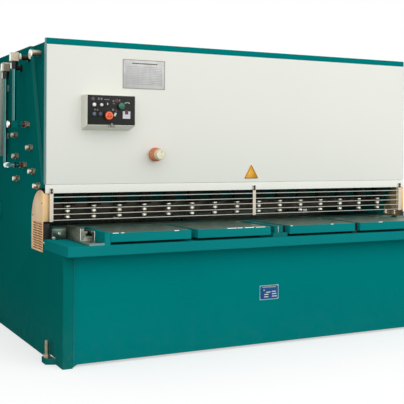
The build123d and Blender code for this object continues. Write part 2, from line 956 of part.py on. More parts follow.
# Pipes that stand off the side plates: a straight run between an elbow and a tee,
# and a run that bends forward at its lower end
pipe_radius = 14.0
pipe_nut = 27.0
pipe_nut_long = 50.0
elbow_size = 76.0
tee_size = 58.0
tee_cap = 27.0
tee_cap_long = 22.0
straight_depth = 840.0
straight_out = 114.0
straight_drop = 90.0
straight_low = 1642.0
bent_depth = 1060.0
bent_out = 124.0
bent_drop = 147.0
bent_low = 1338.0
bent_reach = 137.0
bent_end = bent_depth - bent_reach
bend_clip = 32.0
for side, sign in (("left", -1), ("right", 1)):
    face = sign * half_width
    straight_x = face + sign * straight_out
    bent_x = face + sign * bent_out
    straight_top = side_height - straight_drop
    bent_top = side_height - bent_drop
    with BuildPart() as side_pipes:
        with BuildSketch(level(straight_low)):
            with Locations((straight_x, deep(straight_depth))):
                Circle(pipe_radius)
        extrude(amount=straight_top - straight_low)
        with BuildSketch(level(straight_top - elbow_size / 2 - pipe_nut_long)):
            with Locations((straight_x, deep(straight_depth))):
                RegularPolygon(pipe_nut, 6)
        extrude(amount=pipe_nut_long)
        with Locations((straight_x, deep(straight_depth), straight_top)):
            Box(elbow_size, elbow_size, elbow_size)
        with Locations((straight_x, deep(straight_depth), straight_low)):
            Box(tee_size, tee_size, tee_size)
        for height in (straight_top, straight_low):
            with BuildSketch(across(min(face, straight_x))):
                with Locations((deep(straight_depth), height)):
                    Circle(plug_neck)
            extrude(amount=straight_out)
        with BuildSketch(across(min(face, face + sign * straight_out / 2))):
            with Locations((deep(straight_depth), straight_low)):
                RegularPolygon(plug_hex, 6)
        extrude(amount=straight_out / 2)
        cap_end = straight_x + sign * (tee_size / 2 + tee_cap_long)
        with BuildSketch(across(min(straight_x, cap_end))):
            with Locations((deep(straight_depth), straight_low)):
                Circle(tee_cap)
        extrude(amount=tee_size / 2 + tee_cap_long)

        with BuildLine() as bent_run:
            Polyline(
                (bent_x, deep(bent_depth), bent_top),
                (bent_x, deep(bent_depth), bent_low + bend_clip),
                (bent_x, deep(bent_depth - bend_clip), bent_low),
                (bent_x, deep(bent_end + bend_clip), bent_low),
                (bent_x - sign * bend_clip, deep(bent_end), bent_low),
                (face, deep(bent_end), bent_low),
            )
        with BuildSketch(Plane(origin=bent_run.line @ 0, z_dir=bent_run.line % 0)):
            Circle(pipe_radius)
        sweep(path=bent_run.line, transition=Transition.RIGHT)
        with Locations((bent_x, deep(bent_depth), bent_top)):
            Box(elbow_size, elbow_size, elbow_size)
        with BuildSketch(level(bent_top - elbow_size / 2 - pipe_nut_long)):
            with Locations((bent_x, deep(bent_depth))):
                RegularPolygon(pipe_nut, 6)
        extrude(amount=pipe_nut_long)
        with BuildSketch(across(min(face, bent_x))):
            with Locations((deep(bent_depth), bent_top)):
                Circle(plug_neck)
        extrude(amount=bent_out)
        with BuildSketch(across(min(face, face + sign * plug_out))):
            with Locations((deep(bent_end), bent_low)):
                RegularPolygon(plug_hex, 6)
        extrude(amount=plug_out)
    finish(side_pipes.part, side + "_side_pipes")

# Gas bottles for the beam's return, each held by two brackets on its side plate
bottle_inset = 450.0
bottle_depth = side_depth - bottle_inset
bottle_out = 104.0
bottle_radius = 80.0
bottle_low = 1400.0
bottle_long = 700.0
bottle_neck = 30.0
bottle_neck_long = 50.0
bottle_shoulder = 62.0
bottle_shoulder_high = 14.0
bracket_high = 50.0
with BuildPart() as gas_bottles:
    for sign in (-1, 1):
        bottle_x = sign * (half_width + bottle_out)
        with BuildSketch(level(bottle_low)):
            with Locations((bottle_x, deep(bottle_depth))):
                Circle(bottle_radius)
        extrude(amount=bottle_long)
        with BuildSketch(level(bottle_low + bottle_long)):
            with Locations((bottle_x, deep(bottle_depth))):
                Circle(bottle_shoulder)
        extrude(amount=bottle_shoulder_high)
        with BuildSketch(level(bottle_low + bottle_long)):
            with Locations((bottle_x, deep(bottle_depth))):
                Circle(bottle_neck)
        extrude(amount=bottle_neck_long)
        for share in (0.2, 0.75):
            with BuildSketch(level(bottle_low + share * bottle_long)):
                with Locations((sign * half_width, deep(bottle_depth))):
                    Rectangle(
                        bottle_out,
                        1.2 * bottle_radius,
                        align=(Align.MIN if sign > 0 else Align.MAX, Align.CENTER),
                    )
            extrude(amount=bracket_high)
finish(gas_bottles.part, "gas_bottles")

# Shelf across the back that carries the tank and the pump
with BuildPart() as tank_shelf:
    with BuildSketch(across(-inner_half)):
        with Locations((deep(shelf_front), shelf_level)):
            Rectangle(shelf_back - shelf_front, shelf_flange, align=(Align.MIN, Align.MAX))
        with Locations((deep(shelf_front + shelf_sheet), shelf_level - shelf_sheet)):
            Rectangle(
                shelf_back - shelf_front - 2 * shelf_sheet,
                shelf_flange,
                align=(Align.MIN, Align.MAX),
                mode=Mode.SUBTRACT,
            )
    extrude(amount=2 * inner_half)
finish(tank_shelf.part, "tank_shelf")

tank_middle = deep((shelf_front + shelf_back) / 2)
with BuildPart() as oil_tank:
    with BuildSketch(level(shelf_level)):
        with Locations((tank_left, tank_middle)):
            Rectangle(tank_long, tank_wide, align=(Align.MIN, Align.CENTER))
    extrude(amount=tank_high)
    fillet(oil_tank.edges().filter_by(Axis.Z), tank_lid_lip)
    with BuildSketch(level(shelf_level + tank_high)):
        with Locations((tank_left - tank_lid_lip, tank_middle)):
            Rectangle(
                tank_long + 2 * tank_lid_lip,
                tank_wide + 2 * tank_lid_lip,
                align=(Align.MIN, Align.CENTER),
            )
    extrude(amount=tank_lid)
finish(oil_tank.part, "oil_tank")

# Electric motor lying on its foot, with the pump on its end, and the valve block beside it
with BuildPart() as pump_motor:
    with BuildSketch(across(motor_x - motor_long / 2)):
        with Locations((tank_middle, shelf_level + motor_foot + motor_radius)):
            Circle(motor_radius)
    extrude(amount=motor_long)
    with BuildSketch(across(motor_x + motor_long / 2)):
        with Locations((tank_middle, shelf_level + motor_foot + motor_radius)):
            Circle(pump_radius)
    extrude(amount=pump_long)
    with BuildSketch(level(shelf_level)):
        with Locations((motor_x, tank_middle)):
            Rectangle(0.7 * motor_long, 1.5 * motor_radius)
    extrude(amount=motor_foot + motor_radius / 2)
finish(pump_motor.part, "pump_motor")

with BuildPart() as valve_block:
    with BuildSketch(level(shelf_level)):
        with Locations((valve_x, tank_middle)):
            Rectangle(valve_long, valve_wide)
    extrude(amount=valve_high)
    with BuildSketch(Plane.XZ.offset(-tank_middle + valve_wide / 2)):
        with Locations((valve_x, shelf_level + valve_high / 2)):
            with GridLocations(valve_long / 3, 1, 3, 1):
                Circle(valve_coil)
    extrude(amount=3 * valve_coil)
finish(valve_block.part, "valve_block")

# Lower tie tube between the side plates
with BuildPart() as rear_tie:
    with BuildSketch(across(-inner_half)):
        with Locations((deep(side_depth - tie_size), tie_level)):
            Rectangle(tie_size, tie_size)
            Rectangle(tie_size - 2 * tie_wall, tie_size - 2 * tie_wall, mode=Mode.SUBTRACT)
    extrude(amount=2 * inner_half)
finish(rear_tie.part, "rear_tie")

# Chute behind the bed that drops the cut sheets in front of the tie
chute_end = side_depth - 2 * tie_size
with BuildPart() as drop_chute:
    with BuildSketch(across(-inner_half)):
        with BuildLine():
            Polyline(
                (deep(blade_line), chute_top),
                (deep(chute_end), chute_low),
                (deep(chute_end), chute_low - chute_sheet),
                (deep(blade_line), chute_top - chute_sheet),
                close=True,
            )
        make_face()
    extrude(amount=2 * inner_half)
finish(drop_chute.part, "drop_chute")

# Back gauge hung under the beam: two arms and the stop bar
with BuildPart() as back_gauge:
    for sign in (-1, 1):
        with BuildSketch(across(sign * gauge_arm_x - gauge_arm_wide / 2)):
            with Locations((deep(gauge_arm_front), carrier_bottom)):
                Rectangle(gauge_arm_long, gauge_arm_high, align=(Align.MIN, Align.MAX))
        extrude(amount=gauge_arm_wide)
    with BuildSketch(across(gauge_end_gap - blade_half)):
        with Locations((deep(gauge_line), work_level - gauge_dip)):
            Rectangle(
                gauge_bar,
                carrier_bottom - work_level + gauge_dip - gauge_arm_high / 2,
                align=(Align.MIN, Align.MIN),
            )
    extrude(amount=2 * (blade_half - gauge_end_gap))
finish(back_gauge.part, "back_gauge")

# Sheet guard hung on the back of the shelf, open below for the cut pieces
guard_half = inner_half - rear_guard_gap
with BuildPart() as rear_guard:
    with BuildSketch(across(-guard_half)):
        with Locations((deep(shelf_back), rear_guard_low)):
            Rectangle(rear_guard_sheet, shelf_level - rear_guard_low, align=(Align.MIN, Align.MIN))
            Rectangle(rear_guard_fold, rear_guard_sheet, align=(Align.MIN, Align.MIN))
    extrude(amount=2 * guard_half)
finish(rear_guard.part, "rear_guard")

# Pipes from the valve block to the heads of the two main cylinders
feed_radius = 11.0
feed_rise = 70.0
feed_front = 1000.0
feed_apart = 80.0
feed_bend = 30.0
feed_level = cylinder_bottom + cylinder_long + feed_rise
feed_back = (shelf_front + shelf_back) / 2
with BuildPart() as feed_pipes:
    for sign in (-1, 1):
        valve_port = valve_x + sign * feed_apart
        toward = -sign
        with BuildLine() as feed_run:
            Polyline(
                (sign * ram_x, deep(ram_depth), cylinder_bottom + cylinder_long),
                (sign * ram_x, deep(ram_depth), feed_level - feed_bend),
                (sign * ram_x, deep(ram_depth + feed_bend), feed_level),
                (sign * ram_x, deep(feed_front - feed_bend), feed_level),
                (sign * (ram_x - feed_bend), deep(feed_front), feed_level),
                (valve_port - toward * feed_bend, deep(feed_front), feed_level),
                (valve_port, deep(feed_front + feed_bend), feed_level),
                (valve_port, deep(feed_back - feed_bend), feed_level),
                (valve_port, deep(feed_back), feed_level - feed_bend),
                (valve_port, deep(feed_back), shelf_level + valve_high),
            )
        with BuildSketch(Plane(origin=feed_run.line @ 0, z_dir=feed_run.line % 0)):
            Circle(feed_radius)
        sweep(path=feed_run.line, transition=Transition.RIGHT)
finish(feed_pipes.part, "feed_pipes")
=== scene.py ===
import json
import math

import bmesh
import bpy
from mathutils import Matrix, Vector


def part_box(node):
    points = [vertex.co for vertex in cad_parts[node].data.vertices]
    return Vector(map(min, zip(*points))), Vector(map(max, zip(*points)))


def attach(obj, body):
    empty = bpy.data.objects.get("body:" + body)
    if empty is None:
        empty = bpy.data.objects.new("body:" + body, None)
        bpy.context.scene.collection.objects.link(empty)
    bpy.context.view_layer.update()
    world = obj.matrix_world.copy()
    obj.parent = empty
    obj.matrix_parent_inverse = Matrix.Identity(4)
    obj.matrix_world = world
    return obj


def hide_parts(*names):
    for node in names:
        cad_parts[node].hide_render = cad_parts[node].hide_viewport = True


bl_info = {
    "name": "Swing Beam Shear Dressing",
    "version": (1, 0, 0),
    "blender": (4, 5, 0),
    "location": "3D View > Sidebar > Shear",
    "description": "Dresses a hydraulic swing beam shear with paint, metal and small fittings",
    "category": "Object",
}

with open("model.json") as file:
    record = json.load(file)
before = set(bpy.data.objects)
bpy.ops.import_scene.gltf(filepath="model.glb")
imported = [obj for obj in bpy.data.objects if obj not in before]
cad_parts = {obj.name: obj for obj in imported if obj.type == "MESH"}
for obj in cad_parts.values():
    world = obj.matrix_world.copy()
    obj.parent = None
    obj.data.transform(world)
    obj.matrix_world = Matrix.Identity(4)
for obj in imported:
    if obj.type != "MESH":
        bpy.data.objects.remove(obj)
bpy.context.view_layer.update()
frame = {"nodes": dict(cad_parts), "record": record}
nodes = frame["nodes"]
record_slots = {material["slot"] for material in frame["record"]["materials"]}

# Places taken from the frame, in metres
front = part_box("left_side_frame")[0].y
outer_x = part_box("right_side_frame")[1].x
side_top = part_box("right_side_frame")[1].z
cover_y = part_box("front_cover")[0].y

X = Vector((1, 0, 0))
Y = Vector((0, 1, 0))
Z = Vector((0, 0, 1))
SIDES = (("left", -1), ("right", 1))
SIGNS = (-1, 1)
BLADE_SCREWS = 16
SMOOTH_ANGLE = 32.0  # degrees, above which an edge between two faces is sharp


def deep(depth):
    """Y of a point this far behind the front edge of the side plates."""
    return front + depth


def centre(node):
    """Middle of a node's box."""
    low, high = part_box(node)
    return (low + high) / 2


def linear(value):
    """One 0 to 255 colour channel as a linear value."""
    share = value / 255
    return share / 12.92 if share <= 0.04045 else ((share + 0.055) / 1.055) ** 2.4


def tint(red, green, blue):
    """A colour written in 0 to 255 channels, as linear values."""
    return (linear(red), linear(green), linear(blue), 1.0)


# Sizes and colours that a user would change


def colour_property(label, note, value):
    return bpy.props.FloatVectorProperty(
        name=label, description=note, subtype="COLOR", size=4, min=0, max=1, default=value
    )


def length_property(label, note, value):
    return bpy.props.FloatProperty(
        name=label, description=note, default=value, min=0.0, unit="LENGTH", subtype="DISTANCE"
    )


class ShearColours(bpy.types.PropertyGroup):
    """Colours of the paint, metal and plastic."""

    side_paint: colour_property("Side plates", "Paint of the side plates", tint(4, 108, 103))
    front_paint: colour_property("Bed front", "Paint of the bed's front plate", tint(0, 125, 124))
    table_paint: colour_property("Table", "Paint of the table plate and blocks", tint(14, 130, 130))
    cover_paint: colour_property("Cover", "Paint of the front cover", tint(236, 237, 229))
    guard_paint: colour_property("Throat guards", "Paint of the guards", tint(252, 212, 156))
    box_paint: colour_property("Control box", "Paint of the control box", tint(228, 229, 215))
    panel_black: colour_property("Panel", "Face of the control panel", tint(24, 27, 24))
    machined: colour_property("Machined steel", "Bare milled steel", tint(122, 128, 114))
    polished: colour_property("Polished steel", "Rods and feet", tint(214, 210, 202))
    fitting: colour_property("Fittings", "Plated hydraulic fittings", tint(190, 184, 162))
    plate_metal: colour_property("Notice plate", "Etched plate", tint(176, 176, 174))
    plate_blue: colour_property("Rating plate", "Blue plate on the bed", tint(20, 80, 132))
    sign_yellow: colour_property("Sign", "Triangular sign", tint(240, 176, 58))
    dial_red: colour_property("Dial side", "Ribbed side of the dial", tint(198, 106, 66))
    dial_cream: colour_property("Dial face", "Face of the dial", tint(236, 234, 204))
    stop_red: colour_property("Stop button", "Mushroom head", tint(226, 62, 30))


class ShearSizes(bpy.types.PropertyGroup):
    """Sizes of the small fittings."""

    edge_round: length_property("Edge rounding", "Rounding on plate edges", 0.0022)
    wire_radius: length_property("Wire radius", "Wires of the finger guard", 0.004)
    bolt_radius: length_property("Bolt head", "Head radius of a usual bolt", 0.009)
    slat_depth: length_property("Slat depth", "Depth of a louvre slat", 0.010)
    pipe_radius: length_property("Pipe radius", "Pipes on the side plates", 0.014)
    bezel_radius: length_property("Bezel radius", "Bezels of lamps and buttons", 0.0165)


def sizes():
    return bpy.context.scene.shear_sizes


# Node trees


def add_node(tree, kind, feeds=None, **settings):
    """A new node with its settings, and a value or a linked socket for each input named in feeds."""
    node = tree.nodes.new(kind)
    for label, value in settings.items():
        setattr(node, label, value)
    for label, value in (feeds or {}).items():
        if isinstance(value, bpy.types.NodeSocket):
            tree.links.new(value, node.inputs[label])
        else:
            node.inputs[label].default_value = value
    return node


def new_tree(name, kind, inputs, outputs):
    """An empty node group. An input without a default value is given the name of its socket type."""
    tree = bpy.data.node_groups.new(name, kind)
    types = {int: "Int", float: "Float", tuple: "Color"}
    for label, value in inputs.items():
        bare = isinstance(value, str)
        socket_type = "NodeSocket" + (value if bare else types[type(value)])
        socket = tree.interface.new_socket(name=label, in_out="INPUT", socket_type=socket_type)
        if not bare:
            socket.default_value = value
    for label, value in outputs.items():
        tree.interface.new_socket(name=label, in_out="OUTPUT", socket_type="NodeSocket" + value)
    return tree, tree.nodes.new("NodeGroupInput").outputs, tree.nodes.new("NodeGroupOutput").inputs


def surface_tree(name, inputs):
    """A shader group that takes a position and gives colour, roughness and height."""
    outputs = {"Colour": "Color", "Roughness": "Float", "Height": "Float"}
    return new_tree(name, "ShaderNodeTree", {"Position": "Vector", **inputs}, outputs)


def close_surface(tree, end, colour, rough, height):
    for label, source in (("Colour", colour), ("Roughness", rough), ("Height", height)):
        tree.links.new(source, end[label])
    return tree


def scaled(tree, source, scale):
    """The position stretched by a scale along each axis."""
    return add_node(tree, "ShaderNodeMapping", {"Scale": scale, "Vector": source}).outputs["Vector"]


def noise(tree, source, scale, detail=3.0, rough=0.55):
    feeds = {"Vector": source, "Scale": scale, "Detail": detail, "Roughness": rough}
    return add_node(tree, "ShaderNodeTexNoise", feeds).outputs["Fac"]


def ranged(tree, source, low, high, to_low, to_high):
    """The source between low and high, mapped to another range; numbers or sockets."""
    feeds = {"Value": source, "From Min": low, "From Max": high, "To Min": to_low, "To Max": to_high}
    return add_node(tree, "ShaderNodeMapRange", feeds).outputs["Result"]


def times(tree, first, second):
    return add_node(tree, "ShaderNodeMath", {0: first, 1: second}, operation="MULTIPLY").outputs[0]


def laid(tree, colour, other, source, limits, shares, strength=1.0):
    """Lays another colour over a first one, by a share that follows the source between its limits."""
    cover = times(tree, ranged(tree, source, *limits, *shares), strength)
    feeds = {"Factor": cover, 6: colour, 7: other}
    return add_node(tree, "ShaderNodeMix", feeds, data_type="RGBA").outputs[2]


def height_of(tree, vector):
    return add_node(tree, "ShaderNodeSeparateXYZ", {0: vector}).outputs["Z"]


def make_paint_group():
    """Sprayed paint: soft shade changes, streaks, dust near the floor, scuffs and orange peel."""
    tree, given, end = surface_tree(
        "Sprayed paint",
        {
            "Colour": (0.5, 0.5, 0.5, 1),
            "Shade": (0.4, 0.4, 0.4, 1),
            "Shade share": 0.35,
            "Shade scale": 1.6,
            "Dust": 0.3,
            "Dust colour": (0.35, 0.33, 0.29, 1),
            "Scuffs": 0.1,
            "Smoothest": 0.3,
            "Dullest": 0.5,
        },
    )
    place, dark, dust = given["Position"], given["Shade"], given["Dust colour"]
    # Soft darker patches
    clouds = noise(tree, place, given["Shade scale"])
    colour = laid(tree, given["Colour"], dark, clouds, (0.35, 0.7), (0.0, 1.0), given["Shade share"])
    # Streaks that run down
    streaks = noise(tree, scaled(tree, place, (9.0, 9.0, 0.7)), 2.2, 4.0)
    colour = laid(tree, colour, dark, streaks, (0.56, 0.78), (0.0, 0.5), given["Dust"])
    # Dust, up to 0.42 m over the floor
    low = ranged(tree, height_of(tree, place), 0.0, 0.42, 1.0, 0.0)
    specks = noise(tree, place, 14.0, 6.0, 0.7)
    colour = laid(tree, colour, dust, specks, (0.4, 0.7), (0.1, 1.0), times(tree, low, given["Dust"]))
    # Small scuffs
    marks = noise(tree, scaled(tree, place, (30.0, 30.0, 5.0)), 5.0, 5.0, 0.7)
    colour = laid(tree, colour, dust, marks, (0.66, 0.74), (0.0, 1.0), given["Scuffs"])
    rough = ranged(tree, clouds, 0.3, 0.7, given["Smoothest"], given["Dullest"])
    orange_peel = noise(tree, place, 190.0, 2.0)
    return close_surface(tree, end, colour, rough, orange_peel)


def make_metal_group():
    """Worked metal: fine lines along one direction, stains, and painted shade on what faces down."""
    tree, given, end = surface_tree(
        "Worked metal",
        {
            "Colour": (0.6, 0.6, 0.6, 1),
            "Stain": (0.2, 0.18, 0.14, 1),
            "Stain share": 0.3,
            "Facing": "Vector",
            "Underside shade": 0.0,
            "Grain scale": 40.0,
            "Smoothest": 0.2,
            "Dullest": 0.45,
        },
    )
    place, stain, share = given["Position"], given["Stain"], given["Stain share"]
    lines = noise(tree, scaled(tree, place, (0.6, 14.0, 14.0)), given["Grain scale"], 2.0)
    spots = noise(tree, place, 17.0, 5.0, 0.65)
    colour = laid(tree, given["Colour"], stain, spots, (0.48, 0.7), (0.0, 1.0), share)
    colour = laid(tree, colour, stain, lines, (0.35, 0.65), (0.0, 0.35), share)
    # Painted shade: the stain colour laid on where the surface turns down
    up = height_of(tree, given["Facing"])
    colour = laid(tree, colour, stain, up, (-0.6, 0.5), (1.0, 0.0), given["Underside shade"])
    rough = ranged(tree, spots, 0.3, 0.7, given["Smoothest"], given["Dullest"])
    return close_surface(tree, end, colour, rough, lines)


def make_mould_group():
    """Moulded plastic or film: fine grain with faint shade changes."""
    tree, given, end = surface_tree(
        "Moulded surface",
        {
            "Colour": (0.5, 0.5, 0.5, 1),
            "Shade": (0.4, 0.4, 0.4, 1),
            "Grain scale": 400.0,
            "Roughness": 0.35,
        },
    )
    place = given["Position"]
    clouds = noise(tree, place, 22.0)
    colour = laid(tree, given["Colour"], given["Shade"], clouds, (0.35, 0.7), (0.0, 0.5))
    rough = times(tree, ranged(tree, clouds, 0.3, 0.7, 0.8, 1.2), given["Roughness"])
    return close_surface(tree, end, colour, rough, noise(tree, place, given["Grain scale"], 2.0))


groups = {}
finishes = {}
trees = {}


def shade(colour, share):
    return tuple(channel * share for channel in colour[:3]) + (1.0,)


def make_finish(name, kind, values, specular, bump, metallic=0.0, coat=0.0):
    """A material whose colour, roughness and bump come from one shared group."""
    material = bpy.data.materials.new(name)
    material.use_nodes = True
    tree = material.node_tree
    shader = tree.nodes["Principled BSDF"].inputs
    shader["Metallic"].default_value = metallic
    shader["Specular IOR Level"].default_value = specular
    shader["Coat Weight"].default_value = coat
    place = tree.nodes.new("ShaderNodeTexCoord").outputs
    effect = add_node(
        tree, "ShaderNodeGroup", {**values, "Position": place["Object"]}, node_tree=groups[kind]
    )
    if "Facing" in effect.inputs:
        tree.links.new(place["Normal"], effect.inputs["Facing"])
    tree.links.new(effect.outputs["Colour"], shader["Base Color"])
    tree.links.new(effect.outputs["Roughness"], shader["Roughness"])
    feeds = {"Strength": bump, "Distance": 0.0006, "Height": effect.outputs["Height"]}
    tree.links.new(add_node(tree, "ShaderNodeBump", feeds).outputs["Normal"], shader["Normal"])
    finishes[name] = material


def paint(name, colour, share=0.8, specular=0.3, dust=0.3, scuffs=0.1, scale=1.6):
    """Painted metal in one colour with its darker shade."""
    values = {"Colour": tuple(colour), "Shade": shade(colour, share), "Shade scale": scale}
    make_finish(name, "paint", {**values, "Dust": dust, "Scuffs": scuffs}, specular, bump=0.12)


def metal(name, colour, dirt=None, stain=0.3, smoothest=0.2, dullest=0.45, grain=40.0, underside_shade=0.0):
    """Bare or plated metal, with the colour of its dirt, which is also laid on as painted shade on what
    faces down, and how strong that shade is.
    """
    values = {
        "Colour": tuple(colour),
        "Stain": dirt or shade(colour, 0.35),
        "Stain share": stain,
        "Underside shade": underside_shade,
        "Grain scale": grain,
        "Smoothest": smoothest,
        "Dullest": dullest,
    }
    make_finish(name, "metal", values, 0.5, bump=0.15, metallic=1.0)


def plastic(name, colour, rough=0.35, specular=0.5, coat=0.0):
    values = {"Colour": tuple(colour), "Shade": shade(colour, 0.8), "Roughness": rough}
    make_finish(name, "mould", values, specular, bump=0.08, coat=coat)


def make_finishes():
    """All materials, once."""
    groups["paint"] = make_paint_group()
    groups["metal"] = make_metal_group()
    groups["mould"] = make_mould_group()
    c = bpy.context.scene.shear_colours
    paint("teal_frame", c.side_paint, 0.88, specular=0.0, dust=0.05, scuffs=0.02)
    paint("teal_front", c.front_paint, 0.86, specular=0.0, dust=0.02, scuffs=0.01, scale=1.1)
    paint("teal_table", c.table_paint, 0.86, specular=0.0, dust=0.05, scuffs=0.03)
    paint("teal_block", c.table_paint, 0.88, specular=0.0, dust=0.05, scuffs=0.03)
    # A darker copy of the table paint for the centre arm: painted shade
    paint("teal_painted_shade", shade(c.table_paint, 0.7), 0.88, specular=0.04, dust=0.05, scuffs=0.03)
    paint("teal_shadow", shade(c.side_paint, 0.5), 0.85, specular=0.0, dust=0.05)
    paint("edge_shade", shade(c.side_paint, 0.42), 0.85, specular=0.0)
    # Lighter teal for edges that face the light: painted highlight
    paint("edge_light", tint(30, 118, 111), 0.85, specular=0.05)
    # Teal-grey: painted shade on the cover's ends, painted highlight on the rail's ends and the arms' foot
    paint("edge_strip", tint(118, 158, 156), 0.9, specular=0.1)
    paint("cream_cover", c.cover_paint, 0.97, specular=0.02, dust=0.04, scuffs=0.01)
    paint("cream_strip", shade(c.cover_paint, 1.06), 0.97, specular=0.02, dust=0.02, scuffs=0.01)
    paint("dark_steel", tint(30, 31, 28), 0.6, specular=0.12)
    paint("orange_guard", c.guard_paint, 0.86, specular=0.25, dust=0.1)
    paint("guard_light", tint(244, 212, 150), 0.9, specular=0.1)
    # Dark brown for the louvre openings: painted shade
    paint("louvre_mouth", tint(170, 98, 50), 0.7, specular=0.05)
    paint("grey_box", c.box_paint, 0.93, specular=0.25, dust=0.05)
    paint("bottle_grey", tint(206, 206, 192))
    paint("motor_grey", tint(118, 132, 138), 0.75)
    paint("black_parts", tint(24, 26, 26), 0.7)
    metal("blade_steel", tint(62, 54, 46), stain=0.5, grain=60.0, smoothest=0.35, dullest=0.6)
    metal("rod_steel", tint(246, 240, 226), stain=0.1, smoothest=0.38, dullest=0.55)
    metal("oiled_rod", tint(92, 84, 72), dullest=0.4)
    metal("dark_nuts", tint(58, 50, 42), smoothest=0.3, dullest=0.5)
    metal("machined_steel", c.machined, stain=0.5, smoothest=0.25, dullest=0.5)
    metal("worn_top", tint(112, 136, 124), tint(84, 90, 74), 0.5, 0.3, 0.55)
    metal("bright_steel", c.polished, stain=0.2, smoothest=0.12, dullest=0.3)
    metal("wire_grey", tint(172, 176, 170), stain=0.2, smoothest=0.25, dullest=0.4)
    metal("guard_wire", tint(190, 182, 166), stain=0.2, smoothest=0.25, dullest=0.4)
    # Fittings darker on what faces down: painted shade
    metal("zinc_fittings", c.fitting, tint(96, 72, 54), 0.45, 0.36, 0.5, underside_shade=0.7)
    # Bright metal of caps and nuts, also used for painted highlights on edges, welds and fittings
    metal("bright_caps", tint(238, 244, 238), tint(150, 150, 140), 0.25, 0.1, 0.3)
    metal("seal_copper", tint(150, 84, 66), stain=0.4, smoothest=0.25, dullest=0.4)
    # Worn metal on the lugs' tops, lightened as painted highlight
    metal("lug_wear", tint(150, 182, 178), tint(40, 96, 92), 0.8, 0.25)
    metal("seat_steel", tint(94, 116, 108), tint(70, 52, 36), 0.6)
    metal("pipe_steel", tint(64, 112, 110), tint(40, 74, 74), 0.25, 0.16, 0.28)
    metal("plate_aluminium", c.plate_metal, stain=0.12, smoothest=0.5, dullest=0.62)
    metal("plate_rim", tint(132, 132, 122), stain=0.2, smoothest=0.5, dullest=0.62)
    metal("brass_parts", tint(208, 176, 104), stain=0.35, dullest=0.4)
    plastic("black_panel", c.panel_black, 0.4, 0.2)
    plastic("control_plastic", tint(96, 104, 102))
    plastic("red_button", c.stop_red, 0.3, coat=0.3)
    plastic("blue_plate", c.plate_blue, 0.45, 0.15)
    plastic("yellow_sign", c.sign_yellow, 0.45, 0.3)
    plastic("dial_plastic", c.dial_cream, 0.3)
    plastic("dial_peach", tint(246, 206, 160), 0.3, 0.4)
    plastic("dial_ribs", c.dial_red, 0.32)
    plastic("white_lamp", tint(246, 246, 240), 0.2, coat=0.4)
    plastic("cream_lamp", tint(226, 222, 200), 0.2, coat=0.4)
    # Lighter orange on the stop button: painted highlight
    plastic("orange_ring", tint(248, 146, 70), specular=0.4)
    plastic("green_button", tint(26, 104, 78), 0.28, 0.4, 0.2)
    plastic("slate_button", tint(66, 84, 98), 0.28, coat=0.3)
    plastic("blue_button", tint(34, 60, 84), 0.28, 0.4, 0.2)
    plastic("pale_label", tint(212, 212, 216), 0.5, 0.3)
    plastic("faint_line", tint(150, 150, 156), 0.5, 0.2)
    plastic("frost_label", tint(150, 204, 212), 0.4, 0.2)
    plastic("mauve_label", tint(92, 76, 86), 0.4, 0.3)
    plastic("wine_lamp", tint(84, 48, 58), 0.3, 0.3)
    plastic("grey_label", tint(128, 124, 128), 0.5, 0.3)
    plastic("sign_edge", tint(70, 52, 20), 0.5, 0.3)


# Pieces: each is built in place, with its object at the origin


def facing(direction):
    """Rotation that takes Z to the direction."""
    return Vector(direction).to_track_quat("Z", "Y")


